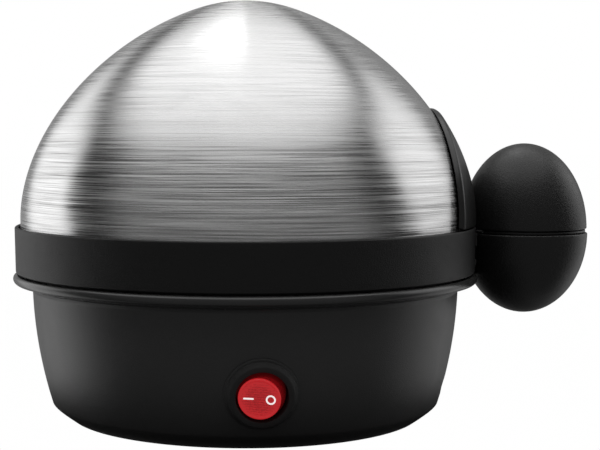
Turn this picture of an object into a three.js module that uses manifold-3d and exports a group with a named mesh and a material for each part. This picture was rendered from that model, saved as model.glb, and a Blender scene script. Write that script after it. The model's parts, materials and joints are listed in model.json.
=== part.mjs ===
// Electric egg cooker: a moulded base with a heated water pan, an egg tray with a half-egg handle,
// and a pointed stainless lid with the matching half-egg handle. Millimetres, +Z up, table at z = 0.
// Radii are measured from the bowl's axis. The switch faces -Y and the handles stand out along +X.
import * as THREE from 'three';
import { mergeVertices } from 'three/addons/utils/BufferGeometryUtils.js';
import Module from 'manifold-3d';

const wasm = await Module();
wasm.setup();

// ---- driving dimensions ----
const rimRadius = 85.05; // top edge of the tray's outer wall
const baseHeight = 53.2; // table to the top of the base's bead
const bandHeight = 16.5; // outer wall of the tray
const lidHeight = 80.19; // lid above its widest level, before its tip is rounded
const clearance = 0.3; // between pieces that touch
const ringSides = 40; // facets round every large ring
const smallSides = 12; // facets round bosses and holes

// base housing
const wallThickness = 2.2;
const wallTopInset = 6.4; // wall's top, inside the rim radius
const wallBottomInset = 13.3; // wall's bottom, inside the rim radius
const wallTopDrop = 6.2; // wall's top, below the bead's top
const wallBottomZ = 5.9;
const wallCurveRadius = 160;
const housingBottomZ = 0.45;
const cornerRise = 4.4; // the bottom corner bends this far above the wall's underside
const lipHeight = 2.2;
const beadProud = 0.7; // bead's widest point outside the rim radius
const beadRoundRadius = 1.7;
const rimWall = 3.15; // bead's width at its top
const panSeatDepth = 3; // bead's top down to the shelf that carries the pan's flange
const sealWidth = 5.2;
const sealHeight = 1.3;
const shelfThickness = 2;

// heating pan and what hangs under it
const sheet = 0.8; // stainless sheet of the pan and the lid
const panDepth = 12.5;
const panFlangeWidth = 9.5;
const panFloorInset = 16.5; // floor's edge, inside the flange's inner edge
const elementRadius = 38;
const elementTube = 3.2;
const elementGapAngle = 40;
const studCircle = 52;
const studRadius = 1.5;
const studLength = 7.4;
const bracketThickness = 1.2;
const bracketWidth = 10;
const postDepth = 4.7; // posts for the brackets stand this far in from the wall
const postHeight = 7.5;
const thermostatRadius = 8;
const thermostatHeight = 9.4;

// bottom cover, its screws and the feet
const coverInset = 20.35; // cover's edge, inside the rim radius
const footRingWidth = 4.7;
const footRingBottom = 0.25;
const coverUnderside = 2.6;
const coverThickness = 2;
const coverScrewCircle = 55;
const coverBossRadius = 4;
const coverBossHeight = 21;
const coverScrewRadius = 1.1;
const coverScrewLength = 11;
const footCircle = 50;
const footRadius = 5;
const footStemRadius = 1.8;

// power switch
const switchPlace = 0.626; // share of the free height, between cover and pan, that lies below the switch
const bezelRadius = 11.8;
const bezelHeight = 2.8;
const bezelSlope = 1.3;
const switchHoleRadius = 8.5;
const switchWall = 1.5;
const switchDepth = 18;
const seatProud = 0.1;
const pivotDepth = 1.4; // rocker's axis, behind the wall's face
const rockerFaceRadius = 6.9;
const rockerFaceHeight = 5.6; // above its axis
const rockerReach = 8.2; // nothing above its axis lies further than this from the pivot
const rockerTilt = 11; // degrees, left side pressed in
const trunnionRadius = 1.05;

// cord recess on the handle's side
const recessZ = 11.35;
const recessDepth = 2;
const recessHalfAngle = 16; // degrees
const recessHalfHeight = 6;
const recessRound = 6;
const cordRadius = 3.5;
const bushWall = 0.7;

// egg tray
const seam = 0.7; // between the bead and the band
const bandWall = 1.75;
const bandTaper = 0.3;
const lidSeatDepth = 3.7;
const lidSlack = 0.8;
const channelWidth = 4.1;
const trayWall = 1.8;
const eggPlateDrop = 9.4;
const eggPlateThickness = 2;
const eggHoleRadius = 16.5;
const eggCircle = 49;
const steamHoleRadius = 3.5;
const steamCircle = 66;

// half-egg handles
const handleStandOff = 20.5; // handle's axis outside the rim radius
const lowerHandleRadius = 23.65;
const lowerHandleHeight = 30.5;
const handleStep = 0.3; // upper half's radius inside the lower half's
const upperHandleHeight = 31.9;
const handleGap = 1.45;
const handleWall = 2;
const handleLipInset = 0.5;
const handleBandGap = 0.9; // lower handle's flat side outside the rim radius
const tongueWidth = 18;
const tongueThickness = 4;
const tongueDrop = 8.9; // tongue's top, below the band's top
const handleBossRadius = 4;
const handleScrewRadius = 1.2;

// lid
const lidSpread = 3.16; // lid's widest level, above the band's top
const lidPowerR = 1.634;
const lidPowerZ = 1.838;
const lidTipRadius = 18;
const shieldRadius = 43.7;
const shieldProud = 2.2;
const shieldWall = 1.2;
const lidScrewHeight = 7.5; // above the band's top
const lidScrewSpacing = 10;
const lidScrewReach = 14;
const platePlay = 0.3;
const plateThickness = 1.2;
const plateHalfWidth = 12;
const plateHalfHeight = 5.5;
const ventRadius = 2;

// ---- levels and radii that follow from them ----
const beadRadius = rimRadius + beadProud;
const wallTopRadius = rimRadius - wallTopInset;
const wallBottomRadius = rimRadius - wallBottomInset;
const wallTopZ = baseHeight - wallTopDrop;
const shelfZ = baseHeight - panSeatDepth;
const sealSeatZ = shelfZ - sealHeight - clearance;
const shelfBottomZ = sealSeatZ - shelfThickness;
const rimInnerRadius = rimRadius - bandTaper - rimWall + 1;
const panFlangeRadius = rimInnerRadius - 2 * clearance;
const panMouthRadius = panFlangeRadius - panFlangeWidth;
const shelfInnerRadius = panMouthRadius + 1;
const sealOuterRadius = shelfInnerRadius + sealWidth;
const panFlangeZ = shelfZ + clearance;
const panFloorZ = panFlangeZ - panDepth;
const panUndersideZ = panFloorZ - sheet;
const panFloorRadius = panMouthRadius - panFloorInset;
const bandBottomZ = baseHeight + seam;
const bandTopZ = bandBottomZ + bandHeight;
const lidSeatZ = bandTopZ - lidSeatDepth;
const eggPlateZ = bandTopZ - eggPlateDrop;
const channelOuterRadius = rimRadius - bandWall + 0.4;
const trayInnerRadius = channelOuterRadius - channelWidth;
const lidRadius = channelOuterRadius - lidSlack;
const lidBottomZ = lidSeatZ + clearance;
const lidWidestZ = bandTopZ + lidSpread;
const coverRadius = rimRadius - coverInset;
const coverTopZ = coverUnderside + coverThickness;
const handleX = rimRadius + handleStandOff;
const upperHandleRadius = lowerHandleRadius - handleStep;
const lowerHandleZ = lidSeatZ + 0.5;
const upperHandleZ = lowerHandleZ + handleGap;
const tongueTopZ = bandTopZ - tongueDrop;
const centreShift = (handleX + lowerHandleRadius - beadRadius) / 2;

// ---- geometry helpers ----
const p2 = (r, z) => new THREE.Vector2(r, z);
const rad = THREE.MathUtils.degToRad;

// Points on an arc about (r, z), from one angle to another in degrees.
function arc(r, z, radius, from, to, steps) {
  const points = [];
  for (let i = 0; i <= steps; i += 1) {
    const a = rad(from + ((to - from) * i) / steps);
    points.push(p2(r + radius * Math.cos(a), z + radius * Math.sin(a)));
  }
  return points;
}

// A profile turned about the Z axis. Its ends lie on the axis, or it closes on itself.
function turned(points, sides = ringSides) {
  const outline = THREE.ShapeUtils.area(points) > 0 ? points : [...points].reverse();
  const closed = outline[0].x > 0 ? [...outline, outline[0].clone()] : outline;
  const geometry = new THREE.LatheGeometry(closed, sides);
  return geometry.rotateX(Math.PI / 2);
}

// A closed geometry as a solid that can be joined and cut.
function solid(geometry) {
  const bare = geometry.clone();
  bare.deleteAttribute('normal');
  bare.deleteAttribute('uv');
  const merged = mergeVertices(bare, 1e-4);
  return new wasm.Manifold(new wasm.Mesh({
    numProp: 3,
    vertProperties: merged.attributes.position.array,
    triVerts: new Uint32Array(merged.index.array),
  }));
}

// A solid back as a three.js geometry.
function geometryOf(made) {
  const { vertProperties, triVerts } = made.getMesh();
  const geometry = new THREE.BufferGeometry();
  geometry.setAttribute('position', new THREE.BufferAttribute(vertProperties, 3));
  geometry.setIndex(new THREE.BufferAttribute(triVerts, 1));
  geometry.computeVertexNormals();
  return geometry;
}

const turnedSolid = (points, sides) => solid(turned(points, sides));

// A solid cylinder between two points.
function rod(radius, from, to, sides = smallSides) {
  const start = new THREE.Vector3(...from);
  const span = new THREE.Vector3(...to).sub(start);
  const geometry = new THREE.CylinderGeometry(radius, radius, span.length(), sides);
  geometry.translate(0, span.length() / 2, 0);
  const turn = new THREE.Quaternion().setFromUnitVectors(new THREE.Vector3(0, 1, 0), span.normalize());
  return solid(geometry.applyQuaternion(turn).translate(...from));
}

// A solid box between its lowest and highest corners.
function block(low, high) {
  const size = high.map((value, i) => value - low[i]);
  const geometry = new THREE.BoxGeometry(...size);
  return solid(geometry.translate(...low.map((value, i) => value + size[i] / 2)));
}

// The same solid turned about the Z axis, in degrees.
const aboutAxis = (made, degrees) => made.rotate([0, 0, degrees]);

// A round rod that follows a curve.
function followed(curve, radius, sides, steps) {
  const section = new THREE.Shape().absarc(0, 0, radius, 0, 2 * Math.PI);
  return new THREE.ExtrudeGeometry(section, {
    steps,
    curveSegments: sides,
    extrudePath: curve,
    bevelEnabled: false,
  });
}

// ---- materials ----
function finish(color, roughness, metalness = 0) {
  return new THREE.MeshStandardMaterial({ color, roughness, metalness });
}
const blackPlastic = finish(0x141415, 0.45);
const satinBlack = finish(0x1b1b1d, 0.35);
const glossBlack = finish(0x0c0c0d, 0.15);
const brushedSteel = finish(0xb9b8b8, 0.35, 1);
const zincSteel = finish(0x9a9c9e, 0.4, 1);
const aluminium = finish(0xa8a9aa, 0.5, 1);
const brass = finish(0xb08d4f, 0.35, 1);
const redLens = finish(0xc8202a, 0.2);
const blackRubber = finish(0x1d1d1d, 0.85);
const silicone = finish(0xa8a39b, 0.7);
const neonGlass = finish(0xe8b27a, 0.1);
const whiteCeramic = finish(0xd8d3c6, 0.6);
const wireBrown = finish(0x5a3018, 0.6);
const wireBlue = finish(0x1f4a8c, 0.6);

function piece(name, shape, material) {
  const geometry = shape.isBufferGeometry ? shape : geometryOf(shape);
  const mesh = new THREE.Mesh(geometry, material);
  mesh.name = name;
  return mesh;
}

// ---- the base's wall ----
// The wall is an arc that bulges outwards through its top and bottom points.
const wallCentre = (() => {
  const top = p2(wallTopRadius, wallTopZ);
  const bottom = p2(wallBottomRadius, wallBottomZ);
  const middle = top.clone().add(bottom).multiplyScalar(0.5);
  const chord = top.clone().sub(bottom);
  const reach = Math.sqrt(wallCurveRadius ** 2 - chord.lengthSq() / 4);
  const inward = p2(-chord.y, chord.x).normalize();
  return middle.add(inward.multiplyScalar(reach));
})();
const wallRadiusAt = (z, inset = 0) => {
  const radius = wallCurveRadius - inset;
  return wallCentre.x + Math.sqrt(radius ** 2 - (z - wallCentre.y) ** 2);
};
const wallAngleAt = (z, inset = 0) => {
  const sine = (z - wallCentre.y) / (wallCurveRadius - inset);
  return THREE.MathUtils.radToDeg(Math.asin(sine));
};

function wallArc(fromZ, toZ, inset, steps) {
  const [from, to] = [fromZ, toZ].map((z) => wallAngleAt(z, inset));
  return arc(wallCentre.x, wallCentre.y, wallCurveRadius - inset, from, to, steps);
}

// From the cover's opening, round the bottom corner, up the wall and round the bead.
function housingOutside() {
  const opening = p2(coverRadius + clearance + 0.1, housingBottomZ);
  const corner = new THREE.QuadraticBezierCurve(
    opening,
    p2(wallBottomRadius - 0.4, housingBottomZ + cornerRise),
    p2(wallBottomRadius, wallBottomZ),
  );
  const beadR = beadRadius - beadRoundRadius;
  const beadZ = baseHeight - beadRoundRadius;
  return [
    ...corner.getPoints(4),
    ...wallArc(wallBottomZ, wallTopZ, 0, 5).slice(1),
    p2(wallTopRadius + 0.7, wallTopZ + 1.2),
    ...arc(beadR, beadZ, beadRoundRadius, -70, 84, 4),
  ];
}

function housingInside() {
  return [
    p2(rimInnerRadius, baseHeight),
    p2(rimInnerRadius, shelfZ),
    p2(sealOuterRadius, shelfZ),
    p2(sealOuterRadius, sealSeatZ),
    p2(shelfInnerRadius, sealSeatZ),
    p2(shelfInnerRadius, shelfBottomZ),
    ...wallArc(shelfBottomZ, wallBottomZ, wallThickness, 5),
    p2(wallBottomRadius - 3.4, housingBottomZ + cornerRise - 0.2),
    p2(coverRadius + clearance + 0.1, housingBottomZ + lipHeight),
  ];
}

// Everything inside the wall's outer face, as deep as the wall goes.
function insideOfWall(inset) {
  return turnedSolid([
    p2(0, coverTopZ + clearance),
    ...wallArc(coverTopZ + clearance, wallTopZ, inset, 5),
    p2(0, wallTopZ),
  ]);
}

// The tilted switch barrel fits between the cover and the pan, between these two heights of its centre.
const switchBarrelRadius = switchHoleRadius + switchWall;
const switchRoomTilt = rad(-wallAngleAt((coverTopZ + panUndersideZ) / 2));
const barrelRise = switchBarrelRadius * Math.cos(switchRoomTilt);
const highestSwitchZ = panUndersideZ - barrelRise - switchDepth * Math.sin(switchRoomTilt);
const lowestSwitchZ = coverTopZ + barrelRise;
const switchZ = lowestSwitchZ + switchPlace * (highestSwitchZ - lowestSwitchZ);

// The switch's own frame: X to the right, Y up the wall, Z out of it.
const switchTilt = wallAngleAt(switchZ);
function placeOnSwitch(object) {
  object.position.set(0, -wallRadiusAt(switchZ), switchZ);
  object.rotation.set(rad(90 - switchTilt), 0, 0);
  return object;
}
function ontoSwitch(made) {
  const placed = placeOnSwitch(new THREE.Object3D());
  placed.updateMatrix();
  return made.transform(placed.matrix.toArray());
}

// The recess follows the wall: a rounded groove about an axis set back so that it dies out sideways.
function recessCutter() {
  const wall = wallRadiusAt(recessZ);
  const floor = wall - recessDepth;
  const edge = p2(wall * Math.cos(rad(recessHalfAngle)), wall * Math.sin(rad(recessHalfAngle)));
  const axisX = (floor ** 2 - edge.lengthSq()) / (2 * (floor - edge.x));
  const grooveRadius = floor - axisX;
  const outline = arc(0, 0, 1, 90, 270, 6).map(
    (p) => p2(grooveRadius + recessRound * (1 + p.x), recessZ + recessHalfHeight * p.y),
  );
  return turnedSolid(outline, 1.5 * ringSides).translate([axisX, 0, 0]);
}

function coverBoss(angle) {
  const low = coverTopZ + clearance;
  const high = low + coverBossHeight;
  const boss = rod(coverBossRadius, [coverScrewCircle, 0, low], [coverScrewCircle, 0, high]);
  const rib = block([coverScrewCircle, -1.5, low], [rimRadius, 1.5, high]);
  const pilotTop = low + coverScrewLength + 2;
  const pilot = rod(coverScrewRadius + clearance, [coverScrewCircle, 0, low - 1], [coverScrewCircle, 0, pilotTop]);
  return aboutAxis(boss.add(rib).subtract(pilot), angle);
}

const bracketZ = panUndersideZ - clearance - studLength + 4.2;
function bracketPost(angle) {
  const low = bracketZ + bracketThickness + clearance;
  const inner = wallRadiusAt(low, wallThickness) - postDepth;
  return aboutAxis(block([inner, -4, low], [rimRadius, 4, low + postHeight]), angle);
}

const coverScrewAngles = [60, 180, 300];
const bracketAngles = [90, 210, 330];

function housing() {
  let body = turnedSolid([...housingOutside(), ...housingInside()]);
  const room = insideOfWall(0.9);
  let fixtures = block([52, -26, coverTopZ + clearance], [rimRadius, 26, recessZ + recessHalfHeight + 2])
    .subtract(insideOfWall(wallThickness + recessDepth));
  for (const angle of coverScrewAngles) {
    fixtures = fixtures.add(coverBoss(angle));
  }
  for (const angle of bracketAngles) {
    fixtures = fixtures.add(bracketPost(angle));
  }
  body = body.add(fixtures.intersect(room));
  const seat = rod(bezelRadius + 0.5, [0, 0, -wallThickness - 1], [0, 0, seatProud], 2 * smallSides);
  const bore = rod(switchBarrelRadius + clearance, [0, 0, -10], [0, 0, 6], 2 * smallSides);
  body = body.add(ontoSwitch(seat)).subtract(ontoSwitch(bore));
  const bushHole = rod(cordRadius + bushWall + clearance, [50, 0, recessZ], [rimRadius, 0, recessZ]);
  body = body.subtract(recessCutter()).subtract(bushHole);
  return piece('housing', body, satinBlack);
}

// ---- heating pan, its seal, and the parts under it ----
// The pan's side is a quarter ellipse from its flat floor up to its mouth at the given level.
function panSide(inset, level, steps) {
  return arc(0, 0, 1, -90, 0, steps).map(
    (p) => p2(panFloorRadius + (panFloorInset - inset) * p.x, level + (panDepth + sheet) * p.y),
  );
}
function heatingPan() {
  const outline = [
    p2(0, panUndersideZ),
    ...panSide(0, panFlangeZ, 5),
    p2(panFlangeRadius, panFlangeZ),
    p2(panFlangeRadius, panFlangeZ + sheet),
    ...panSide(sheet, panFlangeZ + sheet, 5).reverse(),
    p2(0, panFloorZ),
  ];
  return piece('heating_pan', turned(outline), aluminium);
}

function panSeal() {
  const [inner, outer] = [shelfInnerRadius + clearance, sealOuterRadius - clearance];
  const [low, high] = [sealSeatZ + clearance, panFlangeZ - clearance];
  const outline = [p2(inner, low), p2(outer, low), p2(outer, high), p2(inner, high)];
  return piece('pan_seal', turned(outline), silicone);
}

const elementZ = panUndersideZ - clearance - elementTube;
function heatingElement() {
  const start = rad(90 + elementGapAngle / 2);
  const sweep = rad(360 - elementGapAngle);
  const points = [];
  for (let i = 0; i <= 16; i += 1) {
    const a = start + (sweep * i) / 16;
    points.push(new THREE.Vector3(elementRadius * Math.cos(a), elementRadius * Math.sin(a), elementZ));
  }
  return piece('heating_element', followed(new THREE.CatmullRomCurve3(points), elementTube, 4, 22), zincSteel);
}

function elementTab(side, name) {
  const a = rad(90 + (side * elementGapAngle) / 2);
  const end = new THREE.Vector3(elementRadius * Math.cos(a), elementRadius * Math.sin(a), elementZ);
  const away = new THREE.Vector3(Math.sin(a), -Math.cos(a), 0).multiplyScalar(side);
  const from = end.clone().addScaledVector(away, 2 * clearance);
  const to = from.clone().addScaledVector(away, 8);
  return piece(name, rod(1.2, from.toArray(), to.toArray(), 10), zincSteel);
}

function thermostat() {
  const top = panUndersideZ - clearance;
  return piece('thermostat', rod(thermostatRadius, [0, 0, top - thermostatHeight], [0, 0, top], 24), whiteCeramic);
}

// A strap under the thermostat, with its two ends bent up to the pan.
function thermostatBracket() {
  const top = panUndersideZ - clearance;
  const low = top - thermostatHeight - clearance - 1;
  const strap = block([-24, -5, low], [24, 5, low + 1]);
  const legs = [-24, 23].map((x) => block([x, -5, low], [x + 1, 5, top]));
  const feet = [-30, 23].map((x) => block([x, -5, top - 1], [x + 7, 5, top]));
  const made = [...legs, ...feet].reduce((sum, part) => sum.add(part), strap);
  return piece('thermostat_bracket', made, zincSteel);
}

function thermalFuse() {
  const z = panUndersideZ - clearance - 2.2;
  return piece('thermal_fuse', rod(2.2, [-8, -20, z], [8, -20, z], 12), zincSteel);
}

function panStud(angle, index) {
  const top = panUndersideZ - clearance;
  const stud = rod(studRadius, [studCircle, 0, top - studLength], [studCircle, 0, top], 12);
  return piece(`pan_stud_${index}`, aboutAxis(stud, angle), zincSteel);
}

function panBracket(angle, index) {
  const outer = wallRadiusAt(bracketZ, wallThickness) - 2 * clearance - 0.3;
  const half = bracketWidth / 2;
  const strip = block([studCircle - 6, -half, bracketZ], [outer, half, bracketZ + bracketThickness]);
  const hole = rod(studRadius + clearance, [studCircle, 0, bracketZ - 1], [studCircle, 0, bracketZ + 3], 12);
  return piece(`pan_bracket_${index}`, aboutAxis(strip.subtract(hole), angle), zincSteel);
}

function panNut(angle, index) {
  const top = bracketZ - clearance;
  const body = rod(3.2, [studCircle, 0, top - 2.2], [studCircle, 0, top], 6);
  const hole = rod(studRadius + clearance, [studCircle, 0, top - 4], [studCircle, 0, top + 1], 12);
  return piece(`pan_nut_${index}`, aboutAxis(body.subtract(hole), angle), zincSteel);
}

// ---- power switch, in the switch's own frame ----
const bezelBack = seatProud + clearance;
function switchBody() {
  const outline = [
    p2(0, -switchDepth),
    p2(switchBarrelRadius, -switchDepth),
    p2(switchBarrelRadius, bezelBack),
    p2(bezelRadius, bezelBack),
    p2(bezelRadius - 0.2, bezelBack + 0.9),
    p2(bezelRadius - bezelSlope, bezelHeight - 0.3),
    p2(bezelRadius - bezelSlope - 0.5, bezelHeight),
    p2(switchHoleRadius + 0.3, bezelHeight),
    p2(switchHoleRadius, bezelHeight - 0.4),
    p2(switchHoleRadius, 1.5 - switchDepth),
    p2(0, 1.5 - switchDepth),
  ];
  const bearing = rod(trunnionRadius + clearance, [0, -20, -pivotDepth], [0, 20, -pivotDepth], 12);
  return piece('switch_body', turnedSolid(outline, 2 * smallSides).subtract(bearing), blackPlastic);
}

function switchTab(index) {
  const x = (index - 2) * 5;
  const top = -switchDepth - clearance;
  return piece(`switch_tab_${index}`, block([x - 0.4, -3, top - 8], [x + 0.4, 3, top]), brass);
}

function neonLamp() {
  const z = 4.4 - switchDepth;
  return piece('neon_lamp', rod(1.6, [-3.5, 0, z], [3.5, 0, z], 12), neonGlass);
}

// The rocker's flank lies inside a ball about its pivot, so it clears the round hole at every tilt.
// Under its face hangs a skirt, with a small plunger on its axis.
function rockerShape() {
  const reach = (height) => Math.sqrt(rockerReach ** 2 - height ** 2) - 0.1;
  const skirt = 1.3;
  const outline = [
    p2(0, rockerFaceHeight + 0.15),
    p2(rockerFaceRadius - 0.4, rockerFaceHeight),
    p2(rockerFaceRadius, rockerFaceHeight - 0.3),
    p2(reach(4), 4),
    p2(reach(2), 2),
    p2(reach(0), 0),
    p2(reach(-1.8), -1.8),
    p2(reach(-1.8) - skirt, -1.8),
    p2(reach(0) - skirt, 0.8),
    p2(rockerFaceRadius - skirt, rockerFaceHeight - 1.5),
    p2(1.2, rockerFaceHeight - 1.5),
    p2(1.2, -3.6),
    p2(0, -3.6),
  ];
  const trunnions = [-1, 1].map(
    (side) => rod(trunnionRadius, [0, side * (rockerReach - 1), 0], [0, side * (switchHoleRadius + 0.9), 0], 12),
  );
  return turnedSolid(outline, 2 * smallSides).add(trunnions[0]).add(trunnions[1]);
}

function switchGroup() {
  const group = placeOnSwitch(new THREE.Group());
  const tipped = new THREE.Group();
  tipped.position.set(0, 0, -pivotDepth);
  tipped.rotation.set(0, rad(-rockerTilt), 0);
  tipped.add(piece('switch_rocker', rockerShape(), redLens));
  group.add(switchBody(), switchTab(1), switchTab(2), switchTab(3), neonLamp(), tipped);
  return group;
}

// ---- cord bush, terminals and wires ----
function cordBush() {
  const [inner, outer] = [cordRadius, cordRadius + bushWall];
  const outerEnd = wallRadiusAt(recessZ) - recessDepth + 0.4;
  const face = wallRadiusAt(coverTopZ, wallThickness + recessDepth) - 2 * clearance;
  const outline = [
    p2(inner, face - 2),
    p2(outer + 1.8, face - 2),
    p2(outer + 1.8, face),
    p2(outer, face),
    p2(outer, outerEnd),
    p2(inner, outerEnd),
  ];
  const geometry = turned(outline, smallSides).rotateY(Math.PI / 2).translate(0, 0, recessZ);
  return piece('cord_bush', geometry, blackRubber);
}

const blockLow = [30, 12, coverTopZ + clearance];
const blockHigh = [46, 26, coverTopZ + clearance + 10];
function terminalBlock() {
  let made = block(blockLow, blockHigh);
  for (const y of [15.5, 22.5]) {
    const z = blockLow[2] + 5;
    made = made.subtract(rod(1.8, [blockLow[0] - 1, y, z], [blockHigh[0] + 1, y, z], 12));
  }
  return piece('terminal_block', made, whiteCeramic);
}

// A wire through the given points, in its insulation.
function wire(name, points, material) {
  const curve = new THREE.CatmullRomCurve3(points.map((p) => new THREE.Vector3(...p)));
  return piece(name, followed(curve, 1, 2, 12), material);
}

function wires() {
  const blockZ = blockLow[2] + 5;
  const tabPoint = (index) => {
    const group = placeOnSwitch(new THREE.Object3D());
    group.updateMatrix();
    const z = -switchDepth - 8 - 5 * clearance;
    return new THREE.Vector3((index - 2) * 5, 0, z).applyMatrix4(group.matrix).toArray();
  };
  const [left, , right] = [1, 2, 3].map(tabPoint);
  const between = (share) => blockZ + share * (elementZ - blockZ);
  const elementEnd = [7, elementRadius + 3, elementZ - 3];
  const heaterEnd = [-8, elementRadius - 4, elementZ - elementTube - 4.5];
  return [
    wire('wire_live', [[27.5, 15.5, blockZ], [22, 10, blockZ], [14, -16, between(0.15)], right], wireBrown),
    wire('wire_heater', [left, [-14, -30, between(0.35)], [-22, -12, between(0.4)], [-16, 8, between(0.4)], heaterEnd], wireBrown),
    wire('wire_neutral', [[27.5, 22.5, blockZ], [20, 26, between(0.15)], [12, 36, between(0.5)], elementEnd], wireBlue),
  ];
}

// ---- bottom cover, screws and feet ----
const footAngles = [45, 135, 225, 315];
function bottomCover() {
  const ringInner = coverRadius - footRingWidth;
  let made = turnedSolid([
    p2(0, coverUnderside),
    p2(ringInner, coverUnderside),
    p2(ringInner, footRingBottom),
    p2(coverRadius - 0.4, footRingBottom),
    p2(coverRadius, footRingBottom + 0.4),
    p2(coverRadius, coverTopZ),
    p2(0, coverTopZ),
  ]);
  const hole = (radius, circle, angle) => {
    const cutter = rod(radius, [circle, 0, coverUnderside - 1], [circle, 0, coverTopZ + 1], 12);
    made = made.subtract(aboutAxis(cutter, angle));
  };
  coverScrewAngles.forEach((angle) => hole(coverScrewRadius + 0.5, coverScrewCircle, angle));
  footAngles.forEach((angle) => hole(footStemRadius + clearance, footCircle, angle));
  for (let i = 0; i < 6; i += 1) {
    hole(2.2, 26, 60 * i);
  }
  return piece('bottom_cover', made, blackPlastic);
}

function coverScrew(angle, index) {
  const headTop = coverUnderside - clearance;
  const outline = [
    p2(0, headTop - 1.5),
    p2(2.6, headTop - 1.5),
    p2(3.1, headTop - 0.8),
    p2(3.1, headTop),
    p2(coverScrewRadius, headTop),
    p2(coverScrewRadius, coverTopZ + coverScrewLength),
    p2(0, coverTopZ + coverScrewLength + 1),
  ];
  const made = turnedSolid(outline, 8).translate([coverScrewCircle, 0, 0]);
  return piece(`cover_screw_${index}`, aboutAxis(made, angle), zincSteel);
}

function foot(angle, index) {
  const padTop = coverUnderside - clearance;
  const headLow = coverTopZ + clearance;
  const outline = [
    p2(0, 0),
    p2(footRadius - 0.3, 0),
    p2(footRadius, 0.4),
    p2(footRadius, padTop),
    p2(footStemRadius, padTop),
    p2(footStemRadius, headLow),
    p2(footStemRadius + 1.1, headLow),
    p2(footStemRadius + 0.4, headLow + 1.4),
    p2(0, headLow + 1.4),
  ];
  const made = turnedSolid(outline, smallSides).translate([footCircle, 0, 0]);
  return piece(`foot_${index}`, aboutAxis(made, angle), blackRubber);
}

// ---- egg tray ----
const tongueEnd = handleX + 2;
const tongueScrewX = handleX - 3.4;
function eggTray() {
  const bandBottomRadius = rimRadius - bandTaper;
  const skirtOuter = trayInnerRadius + trayWall;
  const skirtBottom = panFlangeZ + sheet + clearance;
  const channelBottom = lidSeatZ - 1.7;
  let made = turnedSolid([
    p2(0, eggPlateZ - eggPlateThickness),
    p2(trayInnerRadius, eggPlateZ - eggPlateThickness),
    p2(trayInnerRadius, skirtBottom),
    p2(skirtOuter, skirtBottom),
    p2(skirtOuter, channelBottom),
    p2(bandBottomRadius - bandWall, channelBottom),
    p2(bandBottomRadius - bandWall, bandBottomZ),
    p2(bandBottomRadius, bandBottomZ),
    p2(rimRadius, bandTopZ - 1),
    p2(rimRadius - 0.4, bandTopZ - 0.1),
    p2(channelOuterRadius + 0.2, bandTopZ),
    p2(channelOuterRadius, bandTopZ - 0.5),
    p2(channelOuterRadius, lidSeatZ),
    p2(trayInnerRadius, lidSeatZ),
    p2(trayInnerRadius, eggPlateZ),
    p2(0, eggPlateZ),
  ]);
  const drill = (radius, circle, angle, sides) => {
    const cutter = rod(radius, [circle, 0, eggPlateZ - 5], [circle, 0, eggPlateZ + 5], sides);
    made = made.subtract(aboutAxis(cutter, angle));
  };
  drill(eggHoleRadius, 0, 0, 20);
  for (let i = 0; i < 6; i += 1) {
    drill(eggHoleRadius, eggCircle, 60 * i, 20);
    drill(steamHoleRadius, steamCircle, 60 * i + 30, 8);
  }
  const half = tongueWidth / 2;
  const root = bandBottomRadius - bandWall / 2;
  const tongue = block([root, -half, tongueTopZ - tongueThickness], [tongueEnd, half, tongueTopZ]);
  const hole = rod(handleScrewRadius + 0.5, [tongueScrewX, 0, tongueTopZ - 9], [tongueScrewX, 0, tongueTopZ + 5], 12);
  return piece('egg_tray', made.add(tongue).subtract(hole), blackPlastic);
}

// ---- half-egg handles ----
// Half an ellipsoid on a flat face, up (+1) or down (-1) from that face.
function halfEgg(radius, height, z, way, steps = 7) {
  const outline = arc(0, 0, 1, 0, 90, steps).map((p) => p2(Math.abs(radius * p.x), z + way * height * p.y));
  outline[steps].x = 0;
  return turnedSolid([p2(0, z), ...outline], 2 * smallSides).translate([handleX, 0, 0]);
}
const withinRadius = (radius) => turnedSolid([p2(0, 0), p2(radius, 0), p2(radius, 200), p2(0, 200)], 2 * ringSides);

function lowerHandleShell() {
  const flat = rimRadius + handleBandGap;
  const outside = halfEgg(lowerHandleRadius, lowerHandleHeight, lowerHandleZ, -1);
  const inner = halfEgg(lowerHandleRadius - handleWall, lowerHandleHeight - handleWall, lowerHandleZ, -1)
    .subtract(withinRadius(flat + handleWall));
  const bossTop = tongueTopZ - tongueThickness - clearance;
  const boss = rod(handleBossRadius, [tongueScrewX, 0, 0], [tongueScrewX, 0, bossTop]).intersect(outside);
  const pilot = rod(handleScrewRadius + clearance, [tongueScrewX, 0, bossTop - 13], [tongueScrewX, 0, bossTop + 1], 12);
  const half = tongueWidth / 2 + clearance;
  const window = block(
    [rimRadius, -half, tongueTopZ - tongueThickness - clearance],
    [handleX - 6, half, tongueTopZ + clearance],
  );
  const made = outside.subtract(withinRadius(flat)).subtract(inner).add(boss).subtract(pilot).subtract(window);
  return piece('lower_handle_shell', made, blackPlastic);
}

function lowerHandleScrew() {
  const seat = tongueTopZ + clearance;
  const outline = [
    p2(0, seat - 14),
    p2(handleScrewRadius, seat - 13),
    p2(handleScrewRadius, seat),
    p2(3.1, seat),
    p2(3.1, seat + 1.2),
    p2(2.4, seat + 2),
    p2(0, seat + 2),
  ];
  return piece('lower_handle_screw', turnedSolid(outline, 8).translate([tongueScrewX, 0, 0]), zincSteel);
}

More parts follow.
